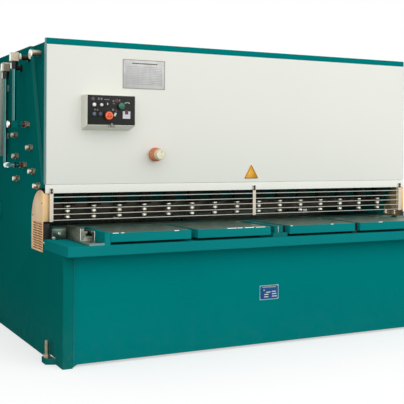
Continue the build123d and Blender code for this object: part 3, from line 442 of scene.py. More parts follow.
class Form:
    """A mesh in the making: each call adds shapes to it, and piece() turns it into an object."""

    def __init__(self):
        self.mesh = bmesh.new()

    def box(self, corner, opposite, turn=Matrix()):
        """A box between two opposite corners, then moved by the turn."""
        corner, opposite = Vector(corner), Vector(opposite)
        size = [abs(step) for step in opposite - corner]
        place = Matrix.Translation((corner + opposite) / 2) @ Matrix.Diagonal((*size, 1))
        bmesh.ops.create_cube(self.mesh, size=1, matrix=turn @ place)
        return self

    def block(self, middle, half):
        """A box around a middle, by half its size."""
        return self.box(Vector(middle) - Vector(half), Vector(middle) + Vector(half))

    def drum(self, start, end, radius, end_radius=None, sides=24):
        """A drum, a cone or a prism between two points."""
        start, end = Vector(start), Vector(end)
        run = end - start
        bmesh.ops.create_cone(
            self.mesh,
            cap_ends=True,
            segments=sides,
            radius1=radius,
            radius2=end_radius or radius,
            depth=run.length,
            matrix=Matrix.Translation((start + end) / 2) @ facing(run).to_matrix().to_4x4(),
        )
        return self

    def lathe(self, points, direction, profile, sides):
        """A turned shape at each of the points: (radius, height) pairs along the direction."""
        turn = facing(direction).to_matrix().to_4x4()
        for point in points:
            place = Matrix.Translation(Vector(point)) @ turn
            rings = [self.ring(place, radius, height, sides) for radius, height in profile]
            for lower, upper in zip(rings, rings[1:]):
                for index in range(sides):
                    after = (index + 1) % sides
                    if len(lower) == 1:
                        corners = (lower[0], upper[after], upper[index])
                    elif len(upper) == 1:
                        corners = (lower[index], lower[after], upper[0])
                    else:
                        corners = (lower[index], lower[after], upper[after], upper[index])
                    self.mesh.faces.new(corners)
        return self

    def ring(self, place, radius, height, sides):
        """One ring of points of a turned shape, or a single point on its axis."""
        if radius < 1e-6:
            return [self.mesh.verts.new(place @ Vector((0, 0, height)))]
        points = []
        for index in range(sides):
            angle = 2 * math.pi * index / sides
            point = Vector((radius * math.cos(angle), radius * math.sin(angle), height))
            points.append(self.mesh.verts.new(place @ point))
        return points

    def slab(self, corners, step):
        """A flat slab: its corners in order, and the step to its other face."""
        near = [self.mesh.verts.new(corner) for corner in corners]
        far = [self.mesh.verts.new(corner + Vector(step)) for corner in corners]
        self.mesh.faces.new(near)
        self.mesh.faces.new(list(reversed(far)))
        for index in range(len(near)):
            after = (index + 1) % len(near)
            self.mesh.faces.new((near[index], far[index], far[after], near[after]))
        return self

    def piece(self, name, finish, slot=None, body="machine", bevel=0.0, angle=SMOOTH_ANGLE):
        """The object, with its faces turned outwards, riding on a body."""
        bmesh.ops.remove_doubles(self.mesh, verts=self.mesh.verts, dist=1e-6)
        bmesh.ops.recalc_face_normals(self.mesh, faces=self.mesh.faces)
        data = bpy.data.meshes.new(name)
        self.mesh.to_mesh(data)
        self.mesh.free()
        return placed(name, data, finish, slot, body, bevel, angle)


def placed(name, data, finish, slot=None, body="machine", bevel=0.0, angle=SMOOTH_ANGLE):
    """An object from a mesh; the slot makes no change to it."""
    data.name = name
    if not data.materials:
        data.materials.append(finishes[finish])
    data.shade_smooth()
    data.set_sharp_from_angle(angle=math.radians(angle))
    piece = bpy.data.objects.new(name, data)
    bpy.context.scene.collection.objects.link(piece)
    if bevel:
        add_bevel(piece, bevel)
    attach(piece, body)
    if slot or finish in record_slots:
        slot or finish
    return piece


def add_bevel(piece, width):
    bevel = piece.modifiers.new("Rounded edges", "BEVEL")
    bevel.width = width
    bevel.segments = 2
    bevel.limit_method = "ANGLE"
    bevel.angle_limit = math.radians(35)
    bevel.harden_normals = True


def stepped(radius, step, top, height):
    """Profile of a disc with a straight rim up to the step and a chamfer to its top."""
    return [(0, 0.0), (radius, 0.0), (radius, step), (top, height), (0, height)]


def line_of(start, end, count):
    """Evenly spaced points from start to end."""
    start, end = Vector(start), Vector(end)
    return [start.lerp(end, index / (count - 1)) for index in range(count)]


def circle(radius, count, first=0.0):
    """Pairs (across, up) evenly spaced on a circle, from a first angle in degrees."""
    angles = [math.radians(first + 360 * step / count) for step in range(count)]
    return [(radius * math.cos(angle), radius * math.sin(angle)) for angle in angles]


# Geometry trees for what repeats or follows a path


def geometry_tree(name, inputs):
    inputs = {"Geometry": "Geometry", **inputs, "Material": "Material"}
    return new_tree(name, "GeometryNodeTree", inputs, {"Geometry": "Geometry"})


def close_tree(tree, given, end, geometry):
    """Ends a tree in Realize Instances and Set Material."""
    whole = add_node(tree, "GeometryNodeRealizeInstances", {"Geometry": geometry}).outputs[0]
    feeds = {"Geometry": whole, "Material": given["Material"]}
    finish = add_node(tree, "GeometryNodeSetMaterial", feeds)
    tree.links.new(finish.outputs["Geometry"], end["Geometry"])
    return tree


def spread(tree, given, end, shape):
    """Puts a shape on each point of the mesh, turned, and ends the tree."""
    feeds = {"Points": given["Geometry"], "Instance": shape, "Rotation": given["Turn"]}
    copies = add_node(tree, "GeometryNodeInstanceOnPoints", feeds)
    return close_tree(tree, given, end, copies.outputs["Instances"])


def bolt_tree():
    """A hexagon head on a washer at each point of the mesh."""
    inputs = {
        "Head radius": 0.009,
        "Head height": 0.006,
        "Washer radius": 0.012,
        "Washer height": 0.0015,
        "Turn": "Rotation",
        "Head sides": 6,
    }
    tree, given, end = geometry_tree("Bolts on points", inputs)
    join = tree.nodes.new("GeometryNodeJoinGeometry")
    for part, sides, base in (("Washer", 20, 0.0), ("Head", given["Head sides"], given["Washer height"])):
        height = given[part + " height"]
        feeds = {"Vertices": sides, "Radius": given[part + " radius"], "Depth": height}
        drum = add_node(tree, "GeometryNodeMeshCylinder", feeds)
        middle = add_node(tree, "ShaderNodeMath", {0: height, 1: 0.5, 2: base}, operation="MULTIPLY_ADD")
        up = add_node(tree, "ShaderNodeCombineXYZ", {"Z": middle.outputs[0]})
        feeds = {"Geometry": drum.outputs["Mesh"], "Translation": up.outputs[0]}
        lifted = add_node(tree, "GeometryNodeTransform", feeds)
        tree.links.new(lifted.outputs["Geometry"], join.inputs["Geometry"])
    return spread(tree, given, end, join.outputs["Geometry"])


def bar_tree():
    """A bar at each point of the mesh: slats and ribs."""
    tree, given, end = geometry_tree("Bars on points", {"Size": "Vector", "Turn": "Rotation"})
    bar = add_node(tree, "GeometryNodeMeshCube", {"Size": given["Size"]})
    return spread(tree, given, end, bar.outputs["Mesh"])


def pipe_tree():
    """A round pipe along the mesh's edges, with rounded bends."""
    inputs = {"Radius": 0.014, "Bend radius": 0.05, "Sides": 20}
    tree, given, end = geometry_tree("Pipe along edges", inputs)
    line = add_node(tree, "GeometryNodeMeshToCurve", {"Mesh": given["Geometry"]}).outputs["Curve"]
    feeds = {"Curve": line, "Radius": given["Bend radius"], "Limit Radius": True, "Count": 8}
    bend = add_node(tree, "GeometryNodeFilletCurve", feeds, mode="POLY").outputs["Curve"]
    feeds = {"Resolution": given["Sides"], "Radius": given["Radius"]}
    ring = add_node(tree, "GeometryNodeCurvePrimitiveCircle", feeds).outputs["Curve"]
    feeds = {"Curve": bend, "Profile Curve": ring, "Fill Caps": True}
    return close_tree(tree, given, end, add_node(tree, "GeometryNodeCurveToMesh", feeds).outputs["Mesh"])


def grown(name, kind, points, values, finish, slot=None, edges=(), bevel=0.0, angle=SMOOTH_ANGLE):
    """Runs one of the trees on points or edges, and keeps the result as a plain mesh."""
    source = bpy.data.meshes.new(name + "_points")
    source.from_pydata([tuple(point) for point in points], edges, [])
    holder = bpy.data.objects.new(name + "_points", source)
    bpy.context.scene.collection.objects.link(holder)
    tree = trees[kind]
    modifier = holder.modifiers.new("Repeat", "NODES")
    modifier.node_group = tree
    labels = {
        item.name: item.identifier
        for item in tree.interface.items_tree
        if item.item_type == "SOCKET" and item.in_out == "INPUT"
    }
    modifier[labels["Material"]] = finishes[finish]
    for label, value in values.items():
        modifier[labels[label]] = value
    bpy.context.view_layer.update()
    whole = bpy.context.evaluated_depsgraph_get()
    data = bpy.data.meshes.new_from_object(holder.evaluated_get(whole), depsgraph=whole)
    holder.modifiers.remove(modifier)
    bpy.data.objects.remove(holder)
    return placed(name, data, finish, slot, bevel=bevel, angle=angle)


def bolts(name, points, direction, radius, finish="zinc_fittings", height=0.7):
    """Hexagon bolts on washers at the points; the height is a share of the radius."""
    values = {
        "Head radius": radius,
        "Head height": radius * height,
        "Washer radius": radius * 1.3,
        "Washer height": radius * 0.16,
        "Turn": tuple(facing(direction).to_euler()),
    }
    return grown(name, "bolt", points, values, finish, angle=30)


def pipe(name, points, radius, bend, sides):
    """A steel pipe through the points."""
    values = {"Radius": radius, "Bend radius": bend, "Sides": sides}
    edges = [(index, index + 1) for index in range(len(points) - 1)]
    return grown(name, "pipe", points, values, "pipe_steel", edges=edges)


# Operators: one for each group of pieces


class SHEAR_OT_plates(bpy.types.Operator):
    """Paint every CAD node, and round the edges of those that keep their own shape"""

    bl_idname = "shear.plates"
    bl_label = "Plates and Housings"

    # Nodes with rounded edges, after the number that the usual rounding is divided by
    rounded = (
        (1, ("left_side_frame", "right_side_frame", "bed_front_plate", "blade_seat_beam", "end_seats")),
        (1, ("tank_shelf", "anchor_lugs", "table_plate", "oil_tank", "rear_tie", "valve_block")),
        (1, ("table_block_1", "table_block_2", "table_block_3", "table_block_4", "control_box")),
        (1, ("back_gauge", "rear_guard", "swing_beam", "upper_blade", "lower_blade", "drop_chute")),
        (2, ("squaring_arm", "center_arm", "front_cover", "press_beam", "top_rail")),
        (3, ("left_cover_cheek", "right_cover_cheek")),
        (4, ("notice_plate", "name_plate", "control_panel")),
    )

    def execute(self, context):
        for part in frame["record"]["subparts"]:
            self.dress(nodes[part["node"]], finishes[part["material_slot"]])
        for divisor, names in self.rounded:
            for name in names:
                flat = nodes[name].modifiers.new("Flat faces", "DECIMATE")
                flat.decimate_type = "DISSOLVE"
                flat.angle_limit = math.radians(0.5)
                add_bevel(nodes[name], sizes().edge_round / divisor)
        # The swing beam and the centre arm take darker copies of their paint: painted shade
        for name, finish in (
            ("press_beam", "cream_strip"),
            ("swing_beam", "teal_shadow"),
            ("end_seats", "seat_steel"),
            ("center_arm", "teal_painted_shade"),
        ):
            nodes[name].data.materials[0] = finishes[finish]
        return {"FINISHED"}

    def dress(self, piece, finish):
        """Gives a CAD node its material and smooth round faces."""
        piece.data.materials.clear()
        piece.data.materials.append(finish)
        weld = piece.modifiers.new("Joined corners", "WELD")
        weld.merge_threshold = 0.00002
        for face in piece.data.polygons:
            face.use_smooth = True
        piece.data.set_sharp_from_angle(angle=math.radians(SMOOTH_ANGLE))


class SHEAR_OT_cover(bpy.types.Operator):
    """Strips of painted shade on the ends of the cover and along its left front edge, strips of painted
    highlight on the ends of the rail, and lines of painted highlight and painted shadow along the plates'
    front edges
    """

    bl_idname = "shear.cover"
    bl_label = "Cover Edges"

    def execute(self, context):
        film, trim = 0.0008, 0.002
        # Painted shade on the end faces of the cover and along its left front edge; painted highlight on
        # the end faces of the rail
        form = Form()
        for node, short in (("top_rail", 0.0), ("front_cover", trim)):
            low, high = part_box(node)
            for sign in SIGNS:
                near = (sign * high.x, low.y, low.z + short)
                form.box(near, (sign * (high.x + film), high.y, high.z - short))
        low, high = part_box("front_cover")
        form.box((low.x, low.y - film, low.z + trim), (low.x + 0.005, low.y, high.z - trim))
        form.piece("cover_shade_and_rail_highlight_strips", "edge_strip", "cream_cover")
        # Painted highlight: a lighter strip on the sloping front edge of the side plates above the throat
        foot = Vector((0, deep(0.497), 1.180))
        head = Vector((0, deep(0.832), 2.229))
        first, last = foot.lerp(head, 0.035), foot.lerp(head, 0.985)
        form = Form()
        for sign in SIGNS:
            outer = X * sign * (outer_x - 0.001)
            inner = X * sign * (outer_x - 0.027)
            form.slab((first + outer, first + inner, last + inner, last + outer), (0, -0.0006, 0.0002))
        form.piece("side_plate_edge_highlights", "edge_light", "teal_frame")
        # Dark lines at the ends of the bed front plate: painted shadow in the gaps; lighter lines just
        # inside them: painted highlight
        low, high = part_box("bed_front_plate")
        for name, finish, slot, inset, width in (
            ("front_seam_shadows", "edge_shade", "teal_frame", 0.0, 0.006),
            ("front_rim_highlights", "edge_light", "teal_front", 0.010, 0.005),
        ):
            form = Form()
            for sign in SIGNS:
                near = (sign * (high.x - inset), low.y - 0.0005, low.z + trim)
                form.box(near, (sign * (high.x - inset - width), low.y, high.z - trim))
            form.piece(name, finish, slot)
        return {"FINISHED"}


class SHEAR_OT_finger_guard(bpy.types.Operator):
    """Wires and hangers in front of the hold-downs"""

    bl_idname = "shear.finger_guard"
    bl_label = "Finger Guard"

    wires = 5
    pitch = 0.041  # metres from wire to wire

    def execute(self, context):
        low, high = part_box("finger_guard")
        radius = sizes().wire_radius
        y = cover_y - radius
        form = Form()
        for index in range(self.wires):
            z = low.z + 0.010 + self.pitch * index
            form.drum((low.x + 0.002, y, z), (high.x - 0.002, y, z), radius, sides=12)
        wires = form.piece("guard_wires", "wire_grey", "guard_wire")
        half, sheet = 0.014, low.y + 0.004
        form = Form()
        heads = []
        for x in (low.x + half, 0.094, high.x - half):
            form.box((x - half, low.y, low.z), (x + half, sheet, high.z))
            form.box((x - half, sheet, low.z), (x + half, high.y, low.z + 0.06))
            form.box((x - half, sheet, high.z - 0.04), (x + half, high.y, high.z))
            heads += [(x, low.y, high.z - 0.012), (x, low.y, high.z - 0.031)]
        hangers = form.piece("guard_hangers", "guard_wire", bevel=0.001)
        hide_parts("finger_guard")
        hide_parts("finger_guard")
        bolts("hanger_bolts", heads, -Y, 0.0075, "black_parts", 0.9)
        return {"FINISHED"}


class SHEAR_OT_throat_guards(bpy.types.Operator):
    """Louvre slats with dark strips of painted shade in their mouths, and the screws of the throat guards
    """

    bl_idname = "shear.throat_guards"
    bl_label = "Throat Guards"

    rows = 11
    pitch = 0.018  # metres from slat to slat
    lean = 48.0  # degrees

    def execute(self, context):
        for side, sign in SIDES:
            low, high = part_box(side + "_throat_guard")
            face = sign * outer_x
            middle = (low.y + high.y) / 2
            slats = []
            mouth_shades = []
            for y in (middle - 0.084, middle + 0.030):
                for row in range(self.rows):
                    z = low.z + 0.0205 + self.pitch * row
                    slats.append((face + sign * 0.0045, y, z + 0.003))
                    mouth_shades.append((face + sign * 0.0042, y, z - 0.0045))
            tilt = (0.0, sign * math.radians(self.lean), 0.0)
            values = {"Size": (0.0016, 0.100, sizes().slat_depth), "Turn": tilt}
            grown(side + "_guard_slats", "bar", slats, values, "guard_light", "orange_guard")
            # Dark strips in the louvre openings: painted shade
            values = {"Size": (0.0006, 0.096, 0.0075)}
            grown(side + "_guard_mouth_shades", "bar", mouth_shades, values, "louvre_mouth", "orange_guard")
            screws = [
                (face + sign * 0.004, y, z)
                for y, z in (
                    (low.y + 0.02, low.z + 0.012),
                    (high.y - 0.02, low.z + 0.012),
                    (low.y + 0.022, high.z - 0.09),
                    (high.y - 0.03, low.z + 0.25),
                )
            ]
            bolts(side + "_guard_screws", screws, sign * X, 0.006, height=0.5)
        return {"FINISHED"}


class SHEAR_OT_hold_downs(bpy.types.Operator):
    """Rods, nuts, pads and glands of the hold-downs, and the pipe that feeds them"""

    bl_idname = "shear.hold_downs"
    bl_label = "Hold-Downs"

    count = 15
    rod = [(0, 0.020), (0.0165, 0.020), (0.0165, 0.189), (0, 0.189)]
    nut = [(0.0165, 0.0), (0.0192, 0.001), (0.0192, 0.0165), (0.0165, 0.0175)]
    hub = [(0.016, 0.008), (0.0195, 0.0085), (0.0195, 0.0225), (0.0185, 0.0238), (0, 0.0238)]
    pad = [(0, 0.0), (0.029, 0.0), (0.031, 0.002), (0.031, 0.0065), (0.029, 0.0085), (0, 0.0085)]
    gland = [(0.0168, 0.0), (0.0215, 0.0), (0.0215, 0.011), (0.0195, 0.013), (0.0168, 0.013)]

    def execute(self, context):
        low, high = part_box("hold_down_feet")
        body_low, body_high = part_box("hold_down_cylinders")
        y = (low.y + high.y) / 2
        end = low.x + (high.y - low.y) / 2
        feet, bottoms, tops, nuts = (
            line_of((end, y, z), (-end, y, z), self.count)
            for z in (low.z, body_low.z, body_high.z, low.z + 0.050)
        )
        form = Form().lathe(feet, Z, self.rod, 24)
        piece = form.piece("hold_down_rods", "oiled_rod", "bright_steel", "hold_downs")
        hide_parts("hold_down_feet")
        form = Form().lathe(nuts, Z, self.nut, 20).lathe(feet, Z, self.hub, 24)
        form.piece("hold_down_nuts", "rod_steel", "bright_steel", "hold_downs")
        form = Form().lathe(feet, Z, self.pad, 28)
        piece = form.piece("hold_down_pads", "dark_nuts", "bright_steel", "hold_downs")
        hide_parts("hold_down_feet")
        Form().lathe(bottoms, -Z, self.gland, 24).piece("hold_down_glands", "rod_steel", "bright_steel")
        level = body_high.z + 0.022
        pipe("hold_down_feed", [(end - 0.02, y, level), (-end + 0.02, y, level)], 0.011, 0.03, 12)
        form = Form()
        for top in tops:
            form.drum(top, top + Z * 0.03, 0.02, sides=6)
        form.piece("hold_down_unions", "zinc_fittings")
        return {"FINISHED"}


class SHEAR_OT_table(bpy.types.Operator):
    """Screws and wear plates of the table, worn edges lightened by painted glints, painted shade in the
    throats and gaps, painted highlights and shade on the support arms, blade screws
    """

    bl_idname = "shear.table"
    bl_label = "Table Details"

    # Painted glints on the blocks' front edges, where the paint is also worn: block, and start and end as
    # shares of its length
    wear_glints = (
        (1, 0.02, 0.09), (1, 0.12, 0.16), (1, 0.78, 0.84), (2, 0.39, 0.52), (2, 0.53, 0.60),
        (2, 0.63, 0.76), (2, 0.79, 0.92), (3, 0.01, 0.04), (3, 0.62, 0.66), (4, 0.30, 0.36),
    )

    def execute(self, context):
        blocks = [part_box("table_block_%d" % index) for index in range(1, 5)]
        self.block_tops(blocks)
        self.slots(blocks)
        self.arms(blocks[0][1].z)
        low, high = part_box("end_seats")
        heads = [
            (sign * (high.x - inset), low.y, low.z + rise)
            for sign in SIGNS
            for inset, rise in ((0.052, 0.043), (0.012, 0.012))
        ]
        bolts("seat_bolts", heads, -Y, sizes().bolt_radius, "bright_steel")
        low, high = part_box("lower_blade")
        form = Form()
        ends = [(x, low.y, high.z - 0.04) for x in (low.x + 0.08, high.x - 0.08)]
        for point in line_of(*ends, BLADE_SCREWS):
            form.drum(point + Y * 0.0235, point + Y * 0.0243, 0.012, sides=20)
        form.piece("lower_blade_screws", "dark_steel")
        return {"FINISHED"}

    def block_tops(self, blocks):
        """Screws and wear plates of the blocks, painted glints on their worn edges, and the wear plate of
        the blade seat.
        """
        sunk = [(0.0, 0.0), (0.0085, 0.0), (0.0085, 0.0012), (0.013, 0.0012), (0.0145, 0.0)]
        film = 0.0004
        screws, tops, edges = Form(), Form(), Form()
        for low, high in blocks:
            across, along = (low.x + 0.09, high.x - 0.09), (low.y + 0.10, high.y - 0.09)
            screws.lathe([(x, y, high.z) for x in across for y in along], Z, sunk, 20)
            near = (low.x + 0.004, low.y + 0.0035, high.z)
            tops.box(near, (high.x - 0.004, high.y - 0.0035, high.z + film))
        for index, start, stop in self.wear_glints:
            low, high = blocks[index - 1]
            line = Vector((low.x, low.y + 0.0014, high.z - 0.0014))
            run = X * (high.x - low.x)
            edges.drum(line + run * start, line + run * stop, 0.002, sides=8)
        screws.piece("block_screws", "machined_steel")
        tops.piece("block_wear_plates", "worn_top", "machined_steel")
        edges.piece("worn_edge_glints", "bright_caps", "machined_steel")
        low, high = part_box("blade_seat_beam")
        left, right = low.x + 0.004, high.x - 0.004
        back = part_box("lower_blade")[0].y - 0.002
        form = Form().box((left, low.y + 0.003, high.z), (right, back, high.z + film))
        form.box((left, low.y - film, high.z - 0.07), (right, low.y, high.z - 0.003))
        form.piece("seat_wear_plate", "worn_top", "machined_steel")

    def slots(self, blocks):
        """Dark sheets of painted shade in the throats, and dark bars of painted shade in the gaps between
        the blocks.
        """
        form = Form()
        for sign in SIGNS:
            near = (sign * (outer_x - 0.001), cover_y - 0.0015, 0.822)
            form.box(near, (sign * (outer_x - 0.041), cover_y, 0.93))
        form.piece("throat_shade_sheets", "black_parts", "dark_steel")
        low, high = blocks[0]
        form = Form()
        starts = (blocks[0][1].x + 0.004, 0.040, blocks[2][1].x + 0.004)
        for left, after, depth in zip(starts, blocks[1:], (0.02, -0.03, -0.06)):
            near = (left, deep(depth), low.z + 0.002)
            form.box(near, (after[0].x - 0.004, high.y - 0.002, high.z - 0.004))
        form.piece("slot_shade_bars", "black_parts", "dark_steel")

    def arms(self, work):
        """Painted highlights on the edges and foot of the two arms, and painted shade in their grooves, up
        to the height of the work.
        """
        left, right, foot = -1.482, -1.376, 0.834
        base_front, face, centre_front = deep(-0.095), deep(0.100), deep(-0.070)
        form = Form()
        for x, top in ((left + 0.006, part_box("squaring_arm")[1].z), (right, work)):
            form.drum((x, face, foot), (x, face, top), 0.0024, sides=8)
        form.drum((-0.004, centre_front, 0.850), (-0.004, centre_front, work), 0.002, sides=8)
        form.piece("arm_edge_highlights", "bright_caps", "machined_steel")
        corner = (left, base_front, foot)
        form = Form().drum((left, face, foot), corner, 0.0024, sides=8)
        form.drum(corner, (right, base_front, foot), 0.0024, sides=8)
        form.box((left, base_front - 0.0006, 0.8215), (right, base_front, foot))
        form.piece("arm_foot_highlights", "edge_strip", "machined_steel")
        form = Form()
        for x in (-1.468, -1.459, -1.394, -1.386):
            form.box((x - 0.0012, face - 0.0008, 0.842), (x + 0.0012, face, work - 0.006))
        form.piece("arm_groove_shades", "dark_nuts", "machined_steel")


class SHEAR_OT_control_box(bpy.types.Operator):
    """Panel frame, latch and hinges of the control box"""

    bl_idname = "shear.control_box"
    bl_label = "Control Box"

    def execute(self, context):
        panel_low, panel_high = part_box("control_panel")
        low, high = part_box("control_box")
        face = low.y
        margin, rim = 0.005, 0.003
        left, right = panel_low.x - margin, panel_high.x + margin
        bottom, top = panel_low.z - margin, panel_high.z + margin
        form = Form().box((left - rim, face - 0.004, bottom - rim), (right + rim, face, bottom))
        form.box((right, face - 0.004, bottom), (right + rim, face, top + rim))
        form.piece("panel_frame", "grey_box", bevel=0.0008)
        form = Form().box((low.x + 0.004, face - 0.001, bottom), (right, face, top))
        form.piece("panel_film", "black_panel")
        x = (low.x + high.x) / 2
        form = Form().box((x - 0.026, face - 0.005, bottom - 0.017), (x + 0.026, face, bottom - 0.001))
        form.box((x - 0.008, face - 0.012, bottom - 0.014), (x + 0.008, face - 0.004, bottom + 0.012))
        form.piece("box_latch", "plate_rim", "zinc_fittings", bevel=0.001)
        form = Form()
        for z in (low.z + 0.05, high.z - 0.05):
            hinge = Vector((high.x, face + 0.006, z))
            form.drum(hinge - Z * 0.018, hinge + Z * 0.018, 0.0045, sides=16)
        form.piece("box_hinges", "grey_box")
        return {"FINISHED"}


class SHEAR_OT_controls(bpy.types.Operator):
    """Lamps, buttons, switches, labels and the stop button"""

    bl_idname = "shear.controls"
    bl_label = "Panel Controls"

    # Finish, x, z and radius of the round heads
    heads = (
        ("white_lamp", -1.3035, 1.777, 0.0135),
        ("cream_lamp", -1.2485, 1.777, 0.0115),
        ("slate_button", -1.304, 1.710, 0.0145),
        ("blue_button", -1.2575, 1.710, 0.0145),
    )
    # X, z, width and height of the bare label strips
    strips = (
        (-1.268, 1.820, 0.012, 0.016),
        (-1.247, 1.820, 0.013, 0.015),
        (-1.296, 1.742, 0.009, 0.010),
        (-1.277, 1.740, 0.009, 0.010),
        (-1.156, 1.806, 0.011, 0.014),
        (-1.108, 1.812, 0.008, 0.015),
        (-1.152, 1.788, 0.014, 0.006),
        (-1.158, 1.744, 0.013, 0.014),
        (-1.206, 1.816, 0.038, 0.006),
    )

    def execute(self, context):
        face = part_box("control_panel")[0].y
        self.switches(face)
        self.labels(face)
        self.stop_button()
        return {"FINISHED"}

    def switches(self, face):
        """Round heads, key switch, selector and mushroom button, with all their bezels."""
        inner = sizes().bezel_radius
        rings = Form()
        ring = [(inner - 0.001, 0.0), (inner + 0.004, 0.0), (inner + 0.004, 0.003), (inner + 0.001, 0.006)]
        ring += [(inner - 0.002, 0.006), (inner - 0.002, 0.0)]
        for finish, x, z, radius in self.heads:
            dome = [(radius, 0.0), (radius, 0.010), (radius * 0.92, 0.0135), (radius * 0.6, 0.0155)]
            form = Form().lathe([(x, face, z)], -Y, dome + [(0, 0.0165)], 28)
            head = form.piece("head_" + finish, finish)
            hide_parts("panel_controls")
            rings.lathe([(x, face, z)], -Y, ring, 28)
        key = Vector((-1.205, face, 1.784))
        selector = Vector((-1.149, face, 1.709))
        mushroom = Vector((-1.100, face, 1.772))
        rings.lathe([key], -Y, stepped(0.0185, 0.006, 0.015, 0.009), 28)
        rings.lathe([selector], -Y, stepped(0.017, 0.004, 0.013, 0.007), 28)
        rings.lathe([mushroom], -Y, stepped(0.018, 0.004, 0.013, 0.006), 28)
        stop = centre("estop_button")
        seat = [(0.019, 0.0), (0.019, 0.005), (0.0135, 0.0062), (0.0135, 0.013), (0.0124, 0.013)]
        rings.lathe([(stop.x, face, stop.z)], -Y, seat + [(0.0124, 0.0)], 28)
        rings.piece("control_bezels", "black_parts", "control_plastic")
        cap = [(0.012, 0.004), (0.013, 0.010), (0.021, 0.014), (0.0245, 0.020), (0.0235, 0.026)]
        form = Form().lathe([mushroom], -Y, cap + [(0.015, 0.031), (0, 0.033)], 32)
        form.piece("start_button", "green_button", "control_plastic")
        form = Form().block(key - Y * 0.012, (0.003, 0.004, 0.008))
        form.piece("key_tab", "pale_label", "control_plastic", bevel=0.001)
        turn = Matrix.Translation(selector) @ Matrix.Rotation(math.radians(28), 4, "Y")
        form = Form().box((-0.0065, -0.022, -0.013), (0.0065, -0.006, 0.013), turn)
        form.piece("selector_lever", "pale_label", "control_plastic", bevel=0.002)

    def labels(self, face):
        """Bare label strips over the controls, dark lamps, small meter and the marks of the scale."""
        form = Form()
        for x, z, wide, high in self.strips:
            form.block((x, face - 0.0006, z), (wide / 2, 0.0006, high / 2))
        form.piece("label_strips", "grey_label", "control_plastic")
        disc = [(0, 0.0), (0.013, 0.0), (0.013, 0.001), (0, 0.001)]
        form = Form().lathe([(-1.310, face, 1.820)], -Y, disc, 24)
        form.piece("long_label", "mauve_label", "control_plastic")
        form = Form()
        for x, z, radius in ((-1.128, 1.806, 0.017), (-1.135, 1.735, 0.010)):
            lamp = [(radius, 0.0), (radius, 0.002), (radius * 0.8, 0.004), (0, 0.004)]
            form.lathe([(x, face, z)], -Y, lamp, 24)
        form.piece("dark_lamps", "wine_lamp", "control_plastic")
        form = Form().box((-1.085, face - 0.006, 1.681), (-1.026, face, 1.735))
        form.piece("small_meter", "pale_label", "control_plastic", bevel=0.0015)
        form = Form().box((-1.069, face - 0.0068, 1.712), (-1.043, face - 0.006, 1.743))
        form.piece("meter_band", "wine_lamp", "control_plastic")
        form = Form()
        for step in range(7):
            angle = math.radians(150 - 20 * step)
            spot = (-1.049 + 0.018 * math.cos(angle), face - 0.0006, 1.789 + 0.010 * math.sin(angle))
            form.block(spot, (0.004, 0.0006, 0.0025))
        form.piece("selector_scale", "pale_label", "control_plastic")

    def stop_button(self):
        """Head of the stop button with its turning marks and a lighter ring of painted highlight."""
        low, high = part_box("estop_button")
        radius = (high.x - low.x) / 2
        head = centre("estop_button")
        head.y = low.y + 0.016
        cap = [(0.0119, head.y - high.y), (0.0119, 0.0)]
        cap += [
            (radius * share, height)
            for share, height in (
                (0.80, 0.0), (0.97, 0.002), (1.0, 0.0055), (0.95, 0.0095), (0.80, 0.0125), (0.68, 0.0132),
                (0.64, 0.0122), (0.34, 0.0126), (0.30, 0.0146), (0.16, 0.0158), (0.0, 0.016),
            )
        ]
        button = Form().lathe([head], -Y, cap, 40).piece("stop_head", "red_button", body="estop", angle=40)
        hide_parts("estop_button")
        form = Form()
        for step in range(3):
            angle = math.radians(90 + 120 * step)
            reach = radius * 0.49
            middle = head + Vector((reach * math.cos(angle), -0.0127, reach * math.sin(angle)))
            turn = Matrix.Translation(middle) @ Matrix.Rotation(-angle, 4, "Y")
            form.box((-0.0022, -0.0006, -0.006), (0.0022, 0.0006, 0.006), turn)
        form.piece("stop_marks", "sign_edge", "red_button", "estop")
        # Lighter ring on the head: painted highlight
        inner, outer = radius * 0.66, radius * 0.80
        ring = [(inner, 0.0118), (inner, 0.0136), (outer, 0.0130), (outer, 0.0118)]
        Form().lathe([head], -Y, ring, 40).piece("stop_highlight_ring", "orange_ring", "red_button", "estop")


